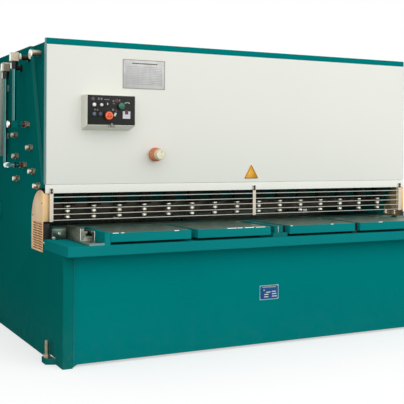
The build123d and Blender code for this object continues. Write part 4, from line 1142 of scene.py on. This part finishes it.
class SHEAR_OT_dial(bpy.types.Operator):
    """Ribbed dial with its pale cap"""

    bl_idname = "shear.dial"
    bl_label = "Dial"

    def execute(self, context):
        low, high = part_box("dial_knob")
        root = centre("dial_knob")
        root.y = high.y
        radius = (high.z - low.z) / 2
        stem, drum, ridges = 0.022, 0.078, 4
        back, tip = radius * 0.985, radius * 0.80
        profile = [(0, 0.0), (0.019, 0.0), (0.019, stem), (back * 0.93, stem), (tip * 0.93, stem + drum)]
        form = Form().lathe([root], -Y, profile + [(0, stem + drum)], 48)
        body = form.piece("dial_body", "dial_peach", "dial_plastic", "dial")
        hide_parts("dial_knob")
        form = Form()
        for ridge in range(ridges):
            crest = back + (tip - back) * ridge / ridges
            steps = ((0.9, 0.0), (0.98, 0.001), (1.0, 0.003), (1.0, 0.007), (0.97, 0.009), (0.88, 0.010))
            ring = [(crest * share, height) for share, height in steps]
            form.lathe([root - Y * (stem + 0.002 + ridge * drum / ridges)], -Y, ring, 48)
        form.piece("dial_ridges", "dial_ribs", "dial_plastic", "dial")
        start = [root - Y * (stem + drum)]
        reach = high.y - low.y - stem - drum
        collar = [(0.030, 0.0), (0.036, 0.0), (0.0378, 0.004), (0.0378, reach - 0.004), (0.035, reach)]
        form = Form().lathe(start, -Y, collar + [(0.030, reach)], 48)
        form.piece("dial_collar", "dial_plastic", body="dial")
        face = [(0.0, 0.0), (0.030, 0.0), (0.030, reach - 0.003), (0.027, reach - 0.001)]
        face += [(0.011, reach - 0.003), (0.009, reach - 0.001), (0, reach - 0.0005)]
        Form().lathe(start, -Y, face, 48).piece("dial_face", "dial_plastic", body="dial", angle=50)
        x, z = root.x, root.z
        form = Form().box((x - 0.0014, low.y + 0.0004, z + 0.013), (x + 0.0014, low.y + 0.004, z + 0.026))
        form.piece("dial_mark", "black_parts", "dial_plastic", "dial")
        return {"FINISHED"}


class SHEAR_OT_fittings(bpy.types.Operator):
    """Hexagon plugs on the side plates and the flanged pins on the cheeks"""

    bl_idname = "shear.fittings"
    bl_label = "Side Fittings"

    # Depth behind the front edge and height of each plug
    spots = ((1.189, 1.568), (0.761, 1.469), (1.156, 1.404), (0.691, 1.295), (1.122, 1.230), (0.560, 1.193))
    neck = [
        (0.016, 0.020), (0.016, 0.026), (0.019, 0.0265), (0.019, 0.044), (0.0165, 0.048),
        (0.008, 0.048), (0.007, 0.044), (0, 0.044),
    ]
    cap = [(0, 0.0475), (0.0155, 0.0475), (0.0155, 0.0484), (0.0085, 0.0484), (0, 0.0484)]
    ring = [(0.0162, 0.0205), (0.0170, 0.0205), (0.0170, 0.0258), (0.0162, 0.0258)]
    pin = [
        (0, 0.0), (0.023, 0.0), (0.023, 0.024), (0.0215, 0.025), (0.0215, 0.040), (0.023, 0.041),
        (0.023, 0.072), (0, 0.072),
    ]
    plate = [(0, 0.0), (0.034, 0.0), (0.0355, 0.001), (0.0355, 0.009), (0.034, 0.010), (0, 0.010)]

    def execute(self, context):
        for side, sign in SIDES:
            out = sign * X
            spots = [Vector((sign * outer_x, deep(depth), z)) for depth, z in self.spots]
            form = Form().lathe(spots, out, self.neck, 24)
            for spot in spots:
                form.drum(spot, spot + out * 0.004, 0.0245, sides=28)
                form.drum(spot + out * 0.004, spot + out * 0.020, 0.025, sides=6)
            piece = form.piece(side + "_plug_set", "zinc_fittings")
            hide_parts(side + "_side_plugs")
            form = Form().lathe(spots, out, self.cap, 20)
            form.piece(side + "_plug_caps", "bright_caps", "zinc_fittings")
            form = Form().lathe(spots, out, self.ring, 20)
            form.piece(side + "_plug_rings", "dark_nuts", "zinc_fittings")
            root = Vector((sign * (outer_x - 0.028), deep(0.649), side_top - 0.072))
            piece = Form().lathe([root], out, self.pin, 32).piece(side + "_cheek_pin", "zinc_fittings")
            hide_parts(side + "_side_plugs")
            form = Form().lathe([root + out * 0.071 - Z * 0.012], out, self.plate, 32)
            form.piece(side + "_pin_plate", "bright_caps", "zinc_fittings")
        return {"FINISHED"}


class SHEAR_OT_pipes(bpy.types.Operator):
    """Hydraulic pipes that stand off the side plates"""

    bl_idname = "shear.pipes"
    bl_label = "Side Pipes"

    # Heights of the tee and of the bent pipe's entry, and that entry's depth behind the front edge
    tee_z = 1.642
    bend_z = 1.338
    port = 0.923

    def execute(self, context):
        for side, sign in SIDES:
            face = sign * outer_x
            straight = Vector((face + sign * 0.114, deep(0.840), 0))
            bent = Vector((face + sign * 0.124, deep(1.060), 0))
            entry = Vector((face, deep(self.port), self.bend_z))
            tops = (straight + Z * (side_top - 0.090), bent + Z * (side_top - 0.147))
            tee = straight + Z * self.tee_z
            radius = sizes().pipe_radius
            first = pipe(side + "_straight_pipe", [tee, tops[0]], radius, 0.036, 24)
            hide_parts(side + "_side_pipes")
            run = [tops[1], bent + Z * self.bend_z, Vector((bent.x, entry.y, entry.z)), entry]
            second = pipe(side + "_bent_pipe", run, radius, 0.036, 24)
            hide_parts(side + "_side_pipes")
            bright = self.elbows(side, sign * X, face, tops)
            self.joints(side, sign * X, tee, entry, bright, bent.x)
        return {"FINISHED"}

    def elbows(self, side, out, face, tops):
        """Elbow blocks at the pipes' tops, with their nuts and stubs; returns their bright parts, with
        painted highlights on the outer faces of the blocks and nuts.
        """
        half = Vector((0.031, 0.034, 0.035))
        blocks, bright, nuts, stubs = Form(), Form(), Form(), Form()
        for middle in tops:
            blocks.block(middle, half)
            # Pale plate on the block's outer face: painted highlight
            bright.block(middle + out * half.x, (0.001, 0.025, 0.026))
            bright.drum(middle - out * 0.046, middle - out * 0.030, 0.031, sides=6)
            wall = Vector((face, middle.y, middle.z))
            stubs.drum(wall, middle - out * 0.046, 0.019)
            stubs.drum(wall, wall + out * 0.016, 0.028, sides=6)
            under = middle - Z * 0.034
            nuts.drum(under, under - Z * 0.020, 0.0275, sides=6)
            nuts.drum(under - Z * 0.020, under - Z * 0.053, 0.0265, 0.024, sides=6)
            # Pale strip on the nut's outer face: painted highlight
            bright.block(under + out * 0.0262 - Z * 0.029, (0.0012, 0.007, 0.021))
        blocks.piece(side + "_elbow_blocks", "zinc_fittings", bevel=0.008)
        nuts.piece(side + "_pipe_nuts", "black_parts", "dark_steel")
        stubs.piece(side + "_elbow_stubs", "dark_nuts", "dark_steel")
        return bright

    def joints(self, side, out, tee, entry, bright, bent_x):
        """Tee block and the rings and nuts where the pipes meet the side plate."""
        wall = Vector((entry.x, tee.y, tee.z))
        form = Form().block(tee, (0.024, 0.024, 0.027)).drum(wall, tee, 0.016)
        form.piece(side + "_tee_block", "teal_frame", bevel=0.003)
        bright.drum(tee + out * 0.040, tee + out * 0.051, 0.026)
        bright.drum(wall + out * 0.026, wall + out * 0.036, 0.023)
        run = Vector((bent_x, 0, self.bend_z))
        bright.drum(run + Y * deep(1.030), run + Y * deep(0.985), 0.0205)
        bright.piece(side + "_bright_nuts_and_highlights", "bright_caps", "zinc_fittings")
        form = Form().drum(tee + out * 0.022, tee + out * 0.041, 0.024)
        form.drum(entry + out * 0.078, entry + out * 0.092, 0.022)
        form.piece(side + "_black_rings", "black_parts", "dark_steel")
        form = Form().drum(wall + out * 0.036, wall + out * 0.056, 0.021)
        form.drum(entry + out * 0.026, entry + out * 0.046, 0.021)
        form.piece(side + "_seal_rings", "seal_copper", "zinc_fittings")
        form = Form().drum(wall, wall + out * 0.026, 0.026, sides=6)
        form.drum(entry, entry + out * 0.026, 0.025, sides=6)
        form.piece(side + "_pipe_unions", "zinc_fittings")


class SHEAR_OT_bottles(bpy.types.Operator):
    """Bands and valves of the gas bottles"""

    bl_idname = "shear.bottles"
    bl_label = "Gas Bottles"

    band = [(0.0795, -0.016), (0.0799, -0.016), (0.0799, 0.016), (0.0795, 0.016)]
    valve = [
        (0.012, 0.0), (0.029, 0.001), (0.029, 0.018), (0.018, 0.022), (0.018, 0.040), (0.022, 0.041),
        (0.022, 0.0495), (0, 0.0495),
    ]

    def execute(self, context):
        low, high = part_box("gas_bottles")
        y = (low.y + high.y) / 2
        places = [sign * (high.x - 0.080) for sign in SIGNS]
        form = Form().lathe([(x, y, z) for x in places for z in (1.565, 1.950)], Z, self.band, 48)
        form.piece("bottle_bands", "zinc_fittings")
        form = Form().lathe([(x, y, high.z - 0.05) for x in places], Z, self.valve, 24)
        form.piece("bottle_valves", "brass_parts", "zinc_fittings")
        return {"FINISHED"}


class SHEAR_OT_signs(bpy.types.Operator):
    """Rims, rivets and bare bars of the two plates, and the rim of the triangular plate"""

    bl_idname = "shear.signs"
    bl_label = "Plates and Sign"

    # Bars of the rating plate: left and right end and drop, as shares of the plate
    rating_bars = (
        (0.35, 0.57, 0.49), (0.25, 0.47, 0.64), (0.24, 0.46, 0.80), (0.63, 0.86, 0.46),
        (0.65, 0.89, 0.62), (0.65, 0.92, 0.79), (0.20, 0.27, 0.34),
    )

    def execute(self, context):
        first, last = 0.24, 0.90
        rows = [first + (last - first) * row / 11 for row in range(11)]
        form = Form()
        self.bars(form, "notice_plate", [(0.08, 0.92, drop, drop) for drop in rows], up=0.0012)
        columns = [(share, share, first, last) for share in (0.08, 0.35, 0.64, 0.92)]
        self.bars(form, "notice_plate", columns, across=0.0009)
        form.piece("notice_plate_lines", "faint_line", "plate_aluminium")
        starts = [0.22 + 0.60 * step / 14 for step in range(14)]
        heading = [(start, start + 0.034, 0.11, 0.15) for start in starts]
        form = self.bars(Form(), "notice_plate", heading)
        form.piece("notice_plate_heading", "sign_edge", "plate_aluminium")
        self.rim("notice_plate", "plate_rim")
        lines = [(left, right, drop, drop) for left, right, drop in self.rating_bars]
        form = self.bars(Form(), "name_plate", lines, up=0.0035)
        form.piece("name_plate_lines", "pale_label", "plate_aluminium")
        form = self.bars(Form(), "name_plate", [(0.14, 0.86, 0.08, 0.18)])
        form.piece("name_plate_heading", "plate_rim", "plate_aluminium")
        self.rim("name_plate", "frost_label")
        low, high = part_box("triangle_plate")
        corners = [
            (low.x + 0.006, low.y, low.z + 0.004),
            (high.x - 0.006, low.y, low.z + 0.004),
            ((low.x + high.x) / 2, low.y, high.z - 0.006),
        ]
        form = Form()
        for start, end in zip(corners, corners[1:] + corners[:1]):
            form.drum(start, end, 0.0016, sides=6)
        form.piece("sign_rim", "sign_edge", "yellow_sign")
        return {"FINISHED"}

    def bars(self, form, node, shares, across=0.0, up=0.0):
        """Thin bars by left, right, upper and lower shares of a plate, grown by lengths in metres."""
        low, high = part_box(node)
        size = high - low
        for left, right, upper, lower in shares:
            near = (low.x + size.x * left - across, low.y - 0.0004, high.z - size.z * lower - up)
            form.box(near, (low.x + size.x * right + across, low.y, high.z - size.z * upper + up))
        return form

    def rim(self, node, finish):
        """Rim and four rivets of a plate."""
        low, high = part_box(node)
        rim, inset = 0.0045, 0.008
        form = Form()
        for left, bottom, right, top in (
            (low.x, low.z, high.x, low.z + rim),
            (low.x, high.z - rim, high.x, high.z),
            (low.x, low.z + rim, low.x + rim, high.z - rim),
            (high.x - rim, low.z + rim, high.x, high.z - rim),
        ):
            form.box((left, low.y - 0.0006, bottom), (right, low.y, top))
        form.piece(node + "_rim", finish, "plate_aluminium")
        across, up = (low.x + inset, high.x - inset), (low.z + inset, high.z - inset)
        rivet = [(0.0035, 0.0), (0.003, 0.0012), (0.0015, 0.002), (0, 0.0022)]
        form = Form().lathe([(x, low.y, z) for x in across for z in up], -Y, rivet, 12)
        form.piece(node + "_rivets", "plate_aluminium")


class SHEAR_OT_feet(bpy.types.Operator):
    """Threads and nuts of the levelling screws, worn tops of their lugs lightened also by painted
    highlight, and painted highlights on the lugs' welds
    """

    bl_idname = "shear.feet"
    bl_label = "Feet"

    def execute(self, context):
        low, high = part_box("levelling_screws")
        lug_top = 0.040
        turns, pitch, crest, valley = 28, 0.0033, 0.0139, 0.0124
        thread = [(0.0, 0.0), (0.012, 0.0)]
        for step in range(turns):
            thread += [(crest, 0.024 + pitch * step), (valley, 0.024 + pitch * (step + 0.5))]
        thread += [(0.011, 0.1155), (0, 0.116)]
        across, along = (low.x + 0.022, high.x - 0.022), (deep(0.2235), deep(1.7735))
        roots = [Vector((x, y, lug_top)) for x in across for y in along]
        form = Form().lathe(roots, Z, thread, 16)
        for root in roots:
            form.drum(root + Z * 0.0005, root + Z * 0.022, 0.024, sides=6)
        piece = form.piece("foot_screws", "zinc_fittings")
        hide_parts("levelling_screws")
        tops, welds = Form(), Form()
        for sign in SIGNS:
            for start in (deep(0.150), deep(1.700)):
                near = Vector((sign * (outer_x + 0.001), start + 0.0015, lug_top))
                far = Vector((sign * (outer_x + 0.060), start + 0.0015, lug_top))
                tops.slab((near, far + Y * 0.032, far + Y * 0.115, near + Y * 0.144), (0, 0, 0.0005))
                bead = Vector((sign * outer_x, start, lug_top + 0.0015))
                welds.drum(bead + Y * 0.004, bead + Y * 0.143, 0.0036, sides=8)
        tops.piece("lug_tops", "lug_wear", "teal_frame")
        welds.piece("lug_weld_highlights", "bright_caps", "zinc_fittings")
        return {"FINISHED"}


class SHEAR_OT_cylinders(bpy.types.Operator):
    """Cap bolts, ports and rod wipers of the main cylinders"""

    bl_idname = "shear.cylinders"
    bl_label = "Main Cylinders"

    wiper = [(0.0465, 0.0), (0.062, 0.0), (0.062, 0.010), (0.056, 0.014), (0.0465, 0.014)]

    def execute(self, context):
        for side in ("left", "right"):
            axis = centre(side + "_ram")
            base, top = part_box(side + "_cylinder")
            cap = Vector((axis.x, axis.y, top.z))
            ring = [cap + X * across + Y * along for across, along in circle(0.092, 8, 22.5)]
            bolts(side + "_cap_bolts", ring, Z, 0.008)
            form = Form().lathe([(axis.x, axis.y, base.z)], -Z, self.wiper, 32)
            form.drum(cap, cap + Z * 0.03, 0.024, sides=6).piece(side + "_cylinder_ports", "zinc_fittings")
        return {"FINISHED"}


class SHEAR_OT_power(bpy.types.Operator):
    """Tank cap and gauge, motor fins and box, valve coils and the pipes to the cylinders"""

    bl_idname = "shear.power"
    bl_label = "Tank and Pump"

    def execute(self, context):
        low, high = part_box("oil_tank")
        rim = [
            (point.x, y, high.z)
            for point in line_of((low.x + 0.05, 0, 0), (high.x - 0.05, 0, 0), 9)
            for y in (low.y + 0.010, high.y - 0.010)
        ]
        bolts("tank_lid_bolts", rim, Z, 0.008)
        cap = [(0.045, 0.0), (0.045, 0.01), (0.05, 0.012), (0.05, 0.045), (0.046, 0.05), (0, 0.05)]
        form = Form().lathe([(low.x + 0.2, (low.y + high.y) / 2, high.z)], Z, cap, 32)
        form.piece("tank_filler", "black_parts", "dark_steel")
        x = low.x + 0.35
        form = Form().block((x, high.y - 0.0115, high.z - 0.20), (0.02, 0.0075, 0.10))
        form.piece("tank_gauge", "zinc_fittings", bevel=0.004)
        self.motor()
        self.valves()
        return {"FINISHED"}

    def motor(self):
        """Motor with its cooling fins, cowl, coupling, foot and terminal box."""
        low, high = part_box("pump_motor")
        radius = (high.y - low.y) / 2
        y, z = low.y + radius, high.z - radius
        end = low.x + 0.38
        fins = 28
        form = Form()
        for step in range(fins):
            angle = 2 * math.pi * step / fins
            if -0.35 < math.sin(angle) < 0:
                continue
            turn = Matrix.Translation((0, y, z)) @ Matrix.Rotation(angle, 4, "X")
            form.box((low.x + 0.075, -0.0022, radius * 0.90), (end - 0.04, 0.0022, radius), turn)
        form.piece("motor_fins", "motor_grey")
        rim = radius * 0.999
        cowl = [(0, 0.0), (radius * 0.7, 0.0), (radius * 0.95, 0.010), (rim, 0.03), (rim, 0.068)]
        cowl += [(radius * 0.9, 0.070), (0, 0.070)]
        shield = [(0, 0.0), (radius * 0.96, 0.0), (rim, 0.004), (rim, 0.035), (0, 0.036)]
        length = end - low.x - 0.034
        shell = [(0, 0.07), (radius * 0.9, 0.07), (radius * 0.9, length), (0, length)]
        coupling = [
            (0, 0.0), (0.062, 0.0), (0.062, 0.03), (0.05, 0.036), (0.05, 0.10), (0.062, 0.104),
            (0.062, 0.145), (0.055, 0.15), (0, 0.15),
        ]
        form = Form().lathe([(low.x, y, z)], X, cowl, 40).lathe([(end - 0.036, y, z)], X, shield, 40)
        form.lathe([(low.x, y, z)], X, shell, 40).lathe([(end, y, z)], X, coupling, 32)
        piece = form.piece("motor_shell", "motor_grey")
        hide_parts("pump_motor")
        x = low.x + 0.19
        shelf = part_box("oil_tank")[0].z
        form = Form().box((x - 0.133, y - 0.094, shelf), (x + 0.133, y + 0.094, shelf + 0.022))
        for left in (x - 0.11, x + 0.09):
            form.box((left, y - 0.06, shelf + 0.022), (left + 0.02, y + 0.06, shelf + 0.095))
        foot = form.piece("motor_foot", "motor_grey", bevel=0.002)
        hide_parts("pump_motor")
        form = Form().box((x - 0.05, y - 0.02 - radius, z + 0.03), (x + 0.05, y - radius * 0.75, z + 0.10))
        form.piece("motor_terminal_box", "motor_grey", bevel=0.004)

    def valves(self):
        """Valve coils, and a feed pipe from the block to each cylinder."""
        low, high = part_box("valve_block")
        middle = (low.x + high.x) / 2
        z = low.z + 0.09
        form = Form()
        for x in (middle - 0.1, middle, middle + 0.1):
            form.box((x - 0.024, low.y + 0.012, z - 0.024), (x + 0.024, low.y + 0.07, z + 0.024))
            form.box((x - 0.015, low.y + 0.02, z + 0.024), (x + 0.015, low.y + 0.055, z + 0.06))
        form.piece("valve_coils", "black_parts", "dark_steel", bevel=0.003)
        for side, sign in SIDES:
            ram = centre(side + "_ram")
            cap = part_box(side + "_cylinder")[1].z
            level = cap + 0.07
            port = Vector((middle + sign * 0.08, high.y - 0.1, high.z))
            run = [(ram.x, ram.y, cap), (ram.x, ram.y, level), (ram.x, deep(1.0), level)]
            run += [(port.x, deep(1.0), level), (port.x, port.y, level), port]
            piece = pipe(side + "_feed_pipe", run, 0.011, 0.045, 14)
            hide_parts("feed_pipes")
            Form().drum(port, port + Z * 0.028, 0.02, sides=6).piece(side + "_feed_union", "zinc_fittings")


class SHEAR_OT_beam(bpy.types.Operator):
    """Screws of the upper blade, and the hub plates over the beam's shafts"""

    bl_idname = "shear.beam"
    bl_label = "Swing Beam"

    screw = [(0, 0.0), (0.007, 0.0), (0.0075, 0.0006), (0.0125, 0.0006), (0.0135, 0.0)]
    plate = [
        (0, 0.0), (0.078, 0.0), (0.078, 0.006), (0.074, 0.008), (0.03, 0.008), (0.027, 0.006), (0, 0.006),
    ]

    def execute(self, context):
        low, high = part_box("upper_blade")
        edge, rake = 0.08, 0.045
        tilt = rake / (high.x - low.x)
        first = (low.x + edge, low.y, low.z + 0.040 + tilt * edge)
        last = (high.x - edge, low.y, low.z + 0.040 + rake - tilt * edge)
        form = Form().lathe(line_of(first, last, BLADE_SCREWS), -Y, self.screw, 20)
        form.piece("upper_blade_screws", "dark_steel", body="swing_beam_body")
        pivot = centre("pivot_shafts")
        for side, sign in SIDES:
            hub = Vector((sign * outer_x, pivot.y, pivot.z))
            form = Form().lathe([hub], sign * X, self.plate, 48)
            form.piece(side + "_hub_plate", "teal_frame")
            ring = [hub + Vector((sign * 0.008, *spot)) for spot in circle(0.060, 6, 30)]
            bolts(side + "_hub_bolts", ring, sign * X, 0.007, "teal_frame")
        return {"FINISHED"}


class SHEAR_OT_gauge(bpy.types.Operator):
    """Screws and bearings of the back gauge"""

    bl_idname = "shear.gauge"
    bl_label = "Back Gauge"

    def execute(self, context):
        low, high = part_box("back_gauge")
        z = high.z - 0.070
        for index, x in enumerate((-0.9, 0.9), 1):
            form = Form().drum((x, low.y + 0.02, z), (x, high.y - 0.02, z), 0.011, sides=16)
            for y in (low.y + 0.03, high.y - 0.03):
                form.box((x - 0.022, y - 0.012, z - 0.015), (x + 0.022, y + 0.012, z + 0.020))
            form.piece("gauge_screw_%d" % index, "bright_steel", body="swing_beam_body")
        return {"FINISHED"}


class SHEAR_OT_rear_guard(bpy.types.Operator):
    """Bolts and stiffening ribs of the sheet guard at the back"""

    bl_idname = "shear.rear_guard"
    bl_label = "Rear Guard"

    def execute(self, context):
        low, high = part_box("rear_guard")
        sheet = low.y + 0.004
        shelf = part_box("tank_shelf")[0].z
        heads = line_of((low.x + 0.09, sheet, shelf + 0.055), (high.x - 0.09, sheet, shelf + 0.055), 12)
        bolts("rear_guard_bolts", heads, Y, sizes().bolt_radius)
        middle = (low.z + shelf) / 2
        ends = [(x, sheet + 0.005, middle) for x in (low.x + 0.39, high.x - 0.39)]
        values = {"Size": (0.04, 0.010, shelf - low.z - 0.12)}
        grown("rear_guard_ribs", "bar", line_of(*ends, 4), values, "teal_frame", bevel=0.003)
        return {"FINISHED"}


class SHEAR_OT_stage(bpy.types.Operator):
    """Floor, soft light, world and camera"""

    bl_idname = "shear.stage"
    bl_label = "Stage"

    white = (1, 1, 1, 1)
    floor_shade = (0.62, 0.62, 0.62, 1)
    floor_size = 60.0
    floor_glow = 0.55
    room_light = 0.50
    # One wide, soft lamp: the direction that it shines from, its power and its spread in degrees
    lamp_from = (0.0, -0.98, 0.19)
    lamp_power = 2.5
    lamp_spread = 100.0
    # The photo's viewpoint: place in metres, turn to the right and roll in degrees, lens in mm
    viewpoint = (-3.3529, -6.2939, 1.447)
    turn = 27.10
    roll = 0.314
    lens = 75.145
    shift = -0.125

    def execute(self, context):
        scene = context.scene
        scene.view_settings.view_transform = "Standard"
        self.floor()
        self.world(scene)
        self.lamp()
        self.camera(scene)
        return {"FINISHED"}

    def seen(self, tree, *rays):
        """1 for the kinds of ray that are named, 0 for all others."""
        path = tree.nodes.new("ShaderNodeLightPath").outputs
        seen = path[rays[0]]
        for ray in rays[1:]:
            feeds = {0: seen, 1: path[ray]}
            seen = add_node(tree, "ShaderNodeMath", feeds, operation="MAXIMUM").outputs[0]
        return seen

    def floor(self):
        mesh = bmesh.new()
        bmesh.ops.create_grid(mesh, x_segments=1, y_segments=1, size=self.floor_size)
        data = bpy.data.meshes.new("floor")
        mesh.to_mesh(data)
        mesh.free()
        floor = bpy.data.objects.new("floor", data)
        bpy.context.scene.collection.objects.link(floor)
        material = bpy.data.materials.new("pale_floor")
        material.use_nodes = True
        tree = material.node_tree
        shader = tree.nodes["Principled BSDF"].inputs
        shader["Base Color"].default_value = self.floor_shade
        shader["Roughness"].default_value = 0.9
        shader["Specular IOR Level"].default_value = 0.0
        shader["Emission Color"].default_value = self.white
        glow = times(tree, self.seen(tree, "Is Camera Ray", "Is Glossy Ray"), self.floor_glow)
        tree.links.new(glow, shader["Emission Strength"])
        data.materials.append(material)

    def world(self, scene):
        world = bpy.data.worlds.new("Soft room")
        scene.world = world
        world.use_nodes = True
        tree = world.node_tree
        light = tree.nodes["Background"]
        light.inputs["Color"].default_value = self.white
        light.inputs["Strength"].default_value = self.room_light
        shown = add_node(tree, "ShaderNodeBackground", {"Color": self.white, "Strength": 1.0})
        seen = self.seen(tree, "Is Camera Ray", "Is Glossy Ray", "Is Transmission Ray")
        mix = add_node(tree, "ShaderNodeMixShader", {0: seen, 1: light.outputs[0], 2: shown.outputs[0]})
        tree.links.new(mix.outputs[0], tree.nodes["World Output"].inputs["Surface"])

    def lamp(self):
        data = bpy.data.lights.new("key_light", "SUN")
        data.energy = self.lamp_power
        data.angle = math.radians(self.lamp_spread)
        lamp = bpy.data.objects.new("key_light", data)
        lamp.rotation_euler = facing(self.lamp_from).to_euler()
        bpy.context.scene.collection.objects.link(lamp)

    def camera(self, scene):
        """The camera at the photo's viewpoint, level but for a hair of roll."""
        turn, roll = math.radians(self.turn), math.radians(self.roll)
        ahead = Vector((math.sin(turn), math.cos(turn), 0))
        right = Vector((math.cos(turn), -math.sin(turn), 0))
        across = right * math.cos(roll) + Z * math.sin(roll)
        up = -right * math.sin(roll) + Z * math.cos(roll)
        data = bpy.data.cameras.new("camera")
        data.sensor_width = 36.0
        data.lens = self.lens
        data.shift_y = self.shift
        data.clip_end = 200
        camera = bpy.data.objects.new("camera", data)
        place = Matrix((across, up, -ahead)).transposed().to_4x4()
        camera.matrix_world = Matrix.Translation(self.viewpoint) @ place
        scene.collection.objects.link(camera)
        scene.camera = camera


operators = (
    SHEAR_OT_plates,
    SHEAR_OT_cover,
    SHEAR_OT_finger_guard,
    SHEAR_OT_throat_guards,
    SHEAR_OT_hold_downs,
    SHEAR_OT_table,
    SHEAR_OT_control_box,
    SHEAR_OT_controls,
    SHEAR_OT_dial,
    SHEAR_OT_fittings,
    SHEAR_OT_pipes,
    SHEAR_OT_bottles,
    SHEAR_OT_signs,
    SHEAR_OT_feet,
    SHEAR_OT_cylinders,
    SHEAR_OT_power,
    SHEAR_OT_beam,
    SHEAR_OT_gauge,
    SHEAR_OT_rear_guard,
    SHEAR_OT_stage,
)


class SHEAR_PT_panel(bpy.types.Panel):
    """Lists the pieces of the shear"""

    bl_label = "Swing Beam Shear"
    bl_idname = "SHEAR_PT_panel"
    bl_space_type = "VIEW_3D"
    bl_region_type = "UI"
    bl_category = "Shear"

    def draw(self, context):
        for label in ShearColours.__annotations__:
            self.layout.prop(context.scene.shear_colours, label)
        for label in ShearSizes.__annotations__:
            self.layout.prop(context.scene.shear_sizes, label)
        for operator in operators:
            self.layout.operator(operator.bl_idname)


def register():
    for item in (ShearColours, ShearSizes, *operators, SHEAR_PT_panel):
        bpy.utils.register_class(item)
    bpy.types.Scene.shear_colours = bpy.props.PointerProperty(type=ShearColours)
    bpy.types.Scene.shear_sizes = bpy.props.PointerProperty(type=ShearSizes)


def unregister():
    del bpy.types.Scene.shear_sizes
    del bpy.types.Scene.shear_colours
    for item in (SHEAR_PT_panel, *reversed(operators), ShearSizes, ShearColours):
        bpy.utils.unregister_class(item)


def main():
    register()
    make_finishes()
    trees["bolt"] = bolt_tree()
    trees["bar"] = bar_tree()
    trees["pipe"] = pipe_tree()
    for operator in operators:
        group, action = operator.bl_idname.split(".")
        result = getattr(getattr(bpy.ops, group), action)()
        if result != {"FINISHED"}:
            raise RuntimeError(operator.bl_label + " did not finish")


if __name__ == "__main__":
    main()
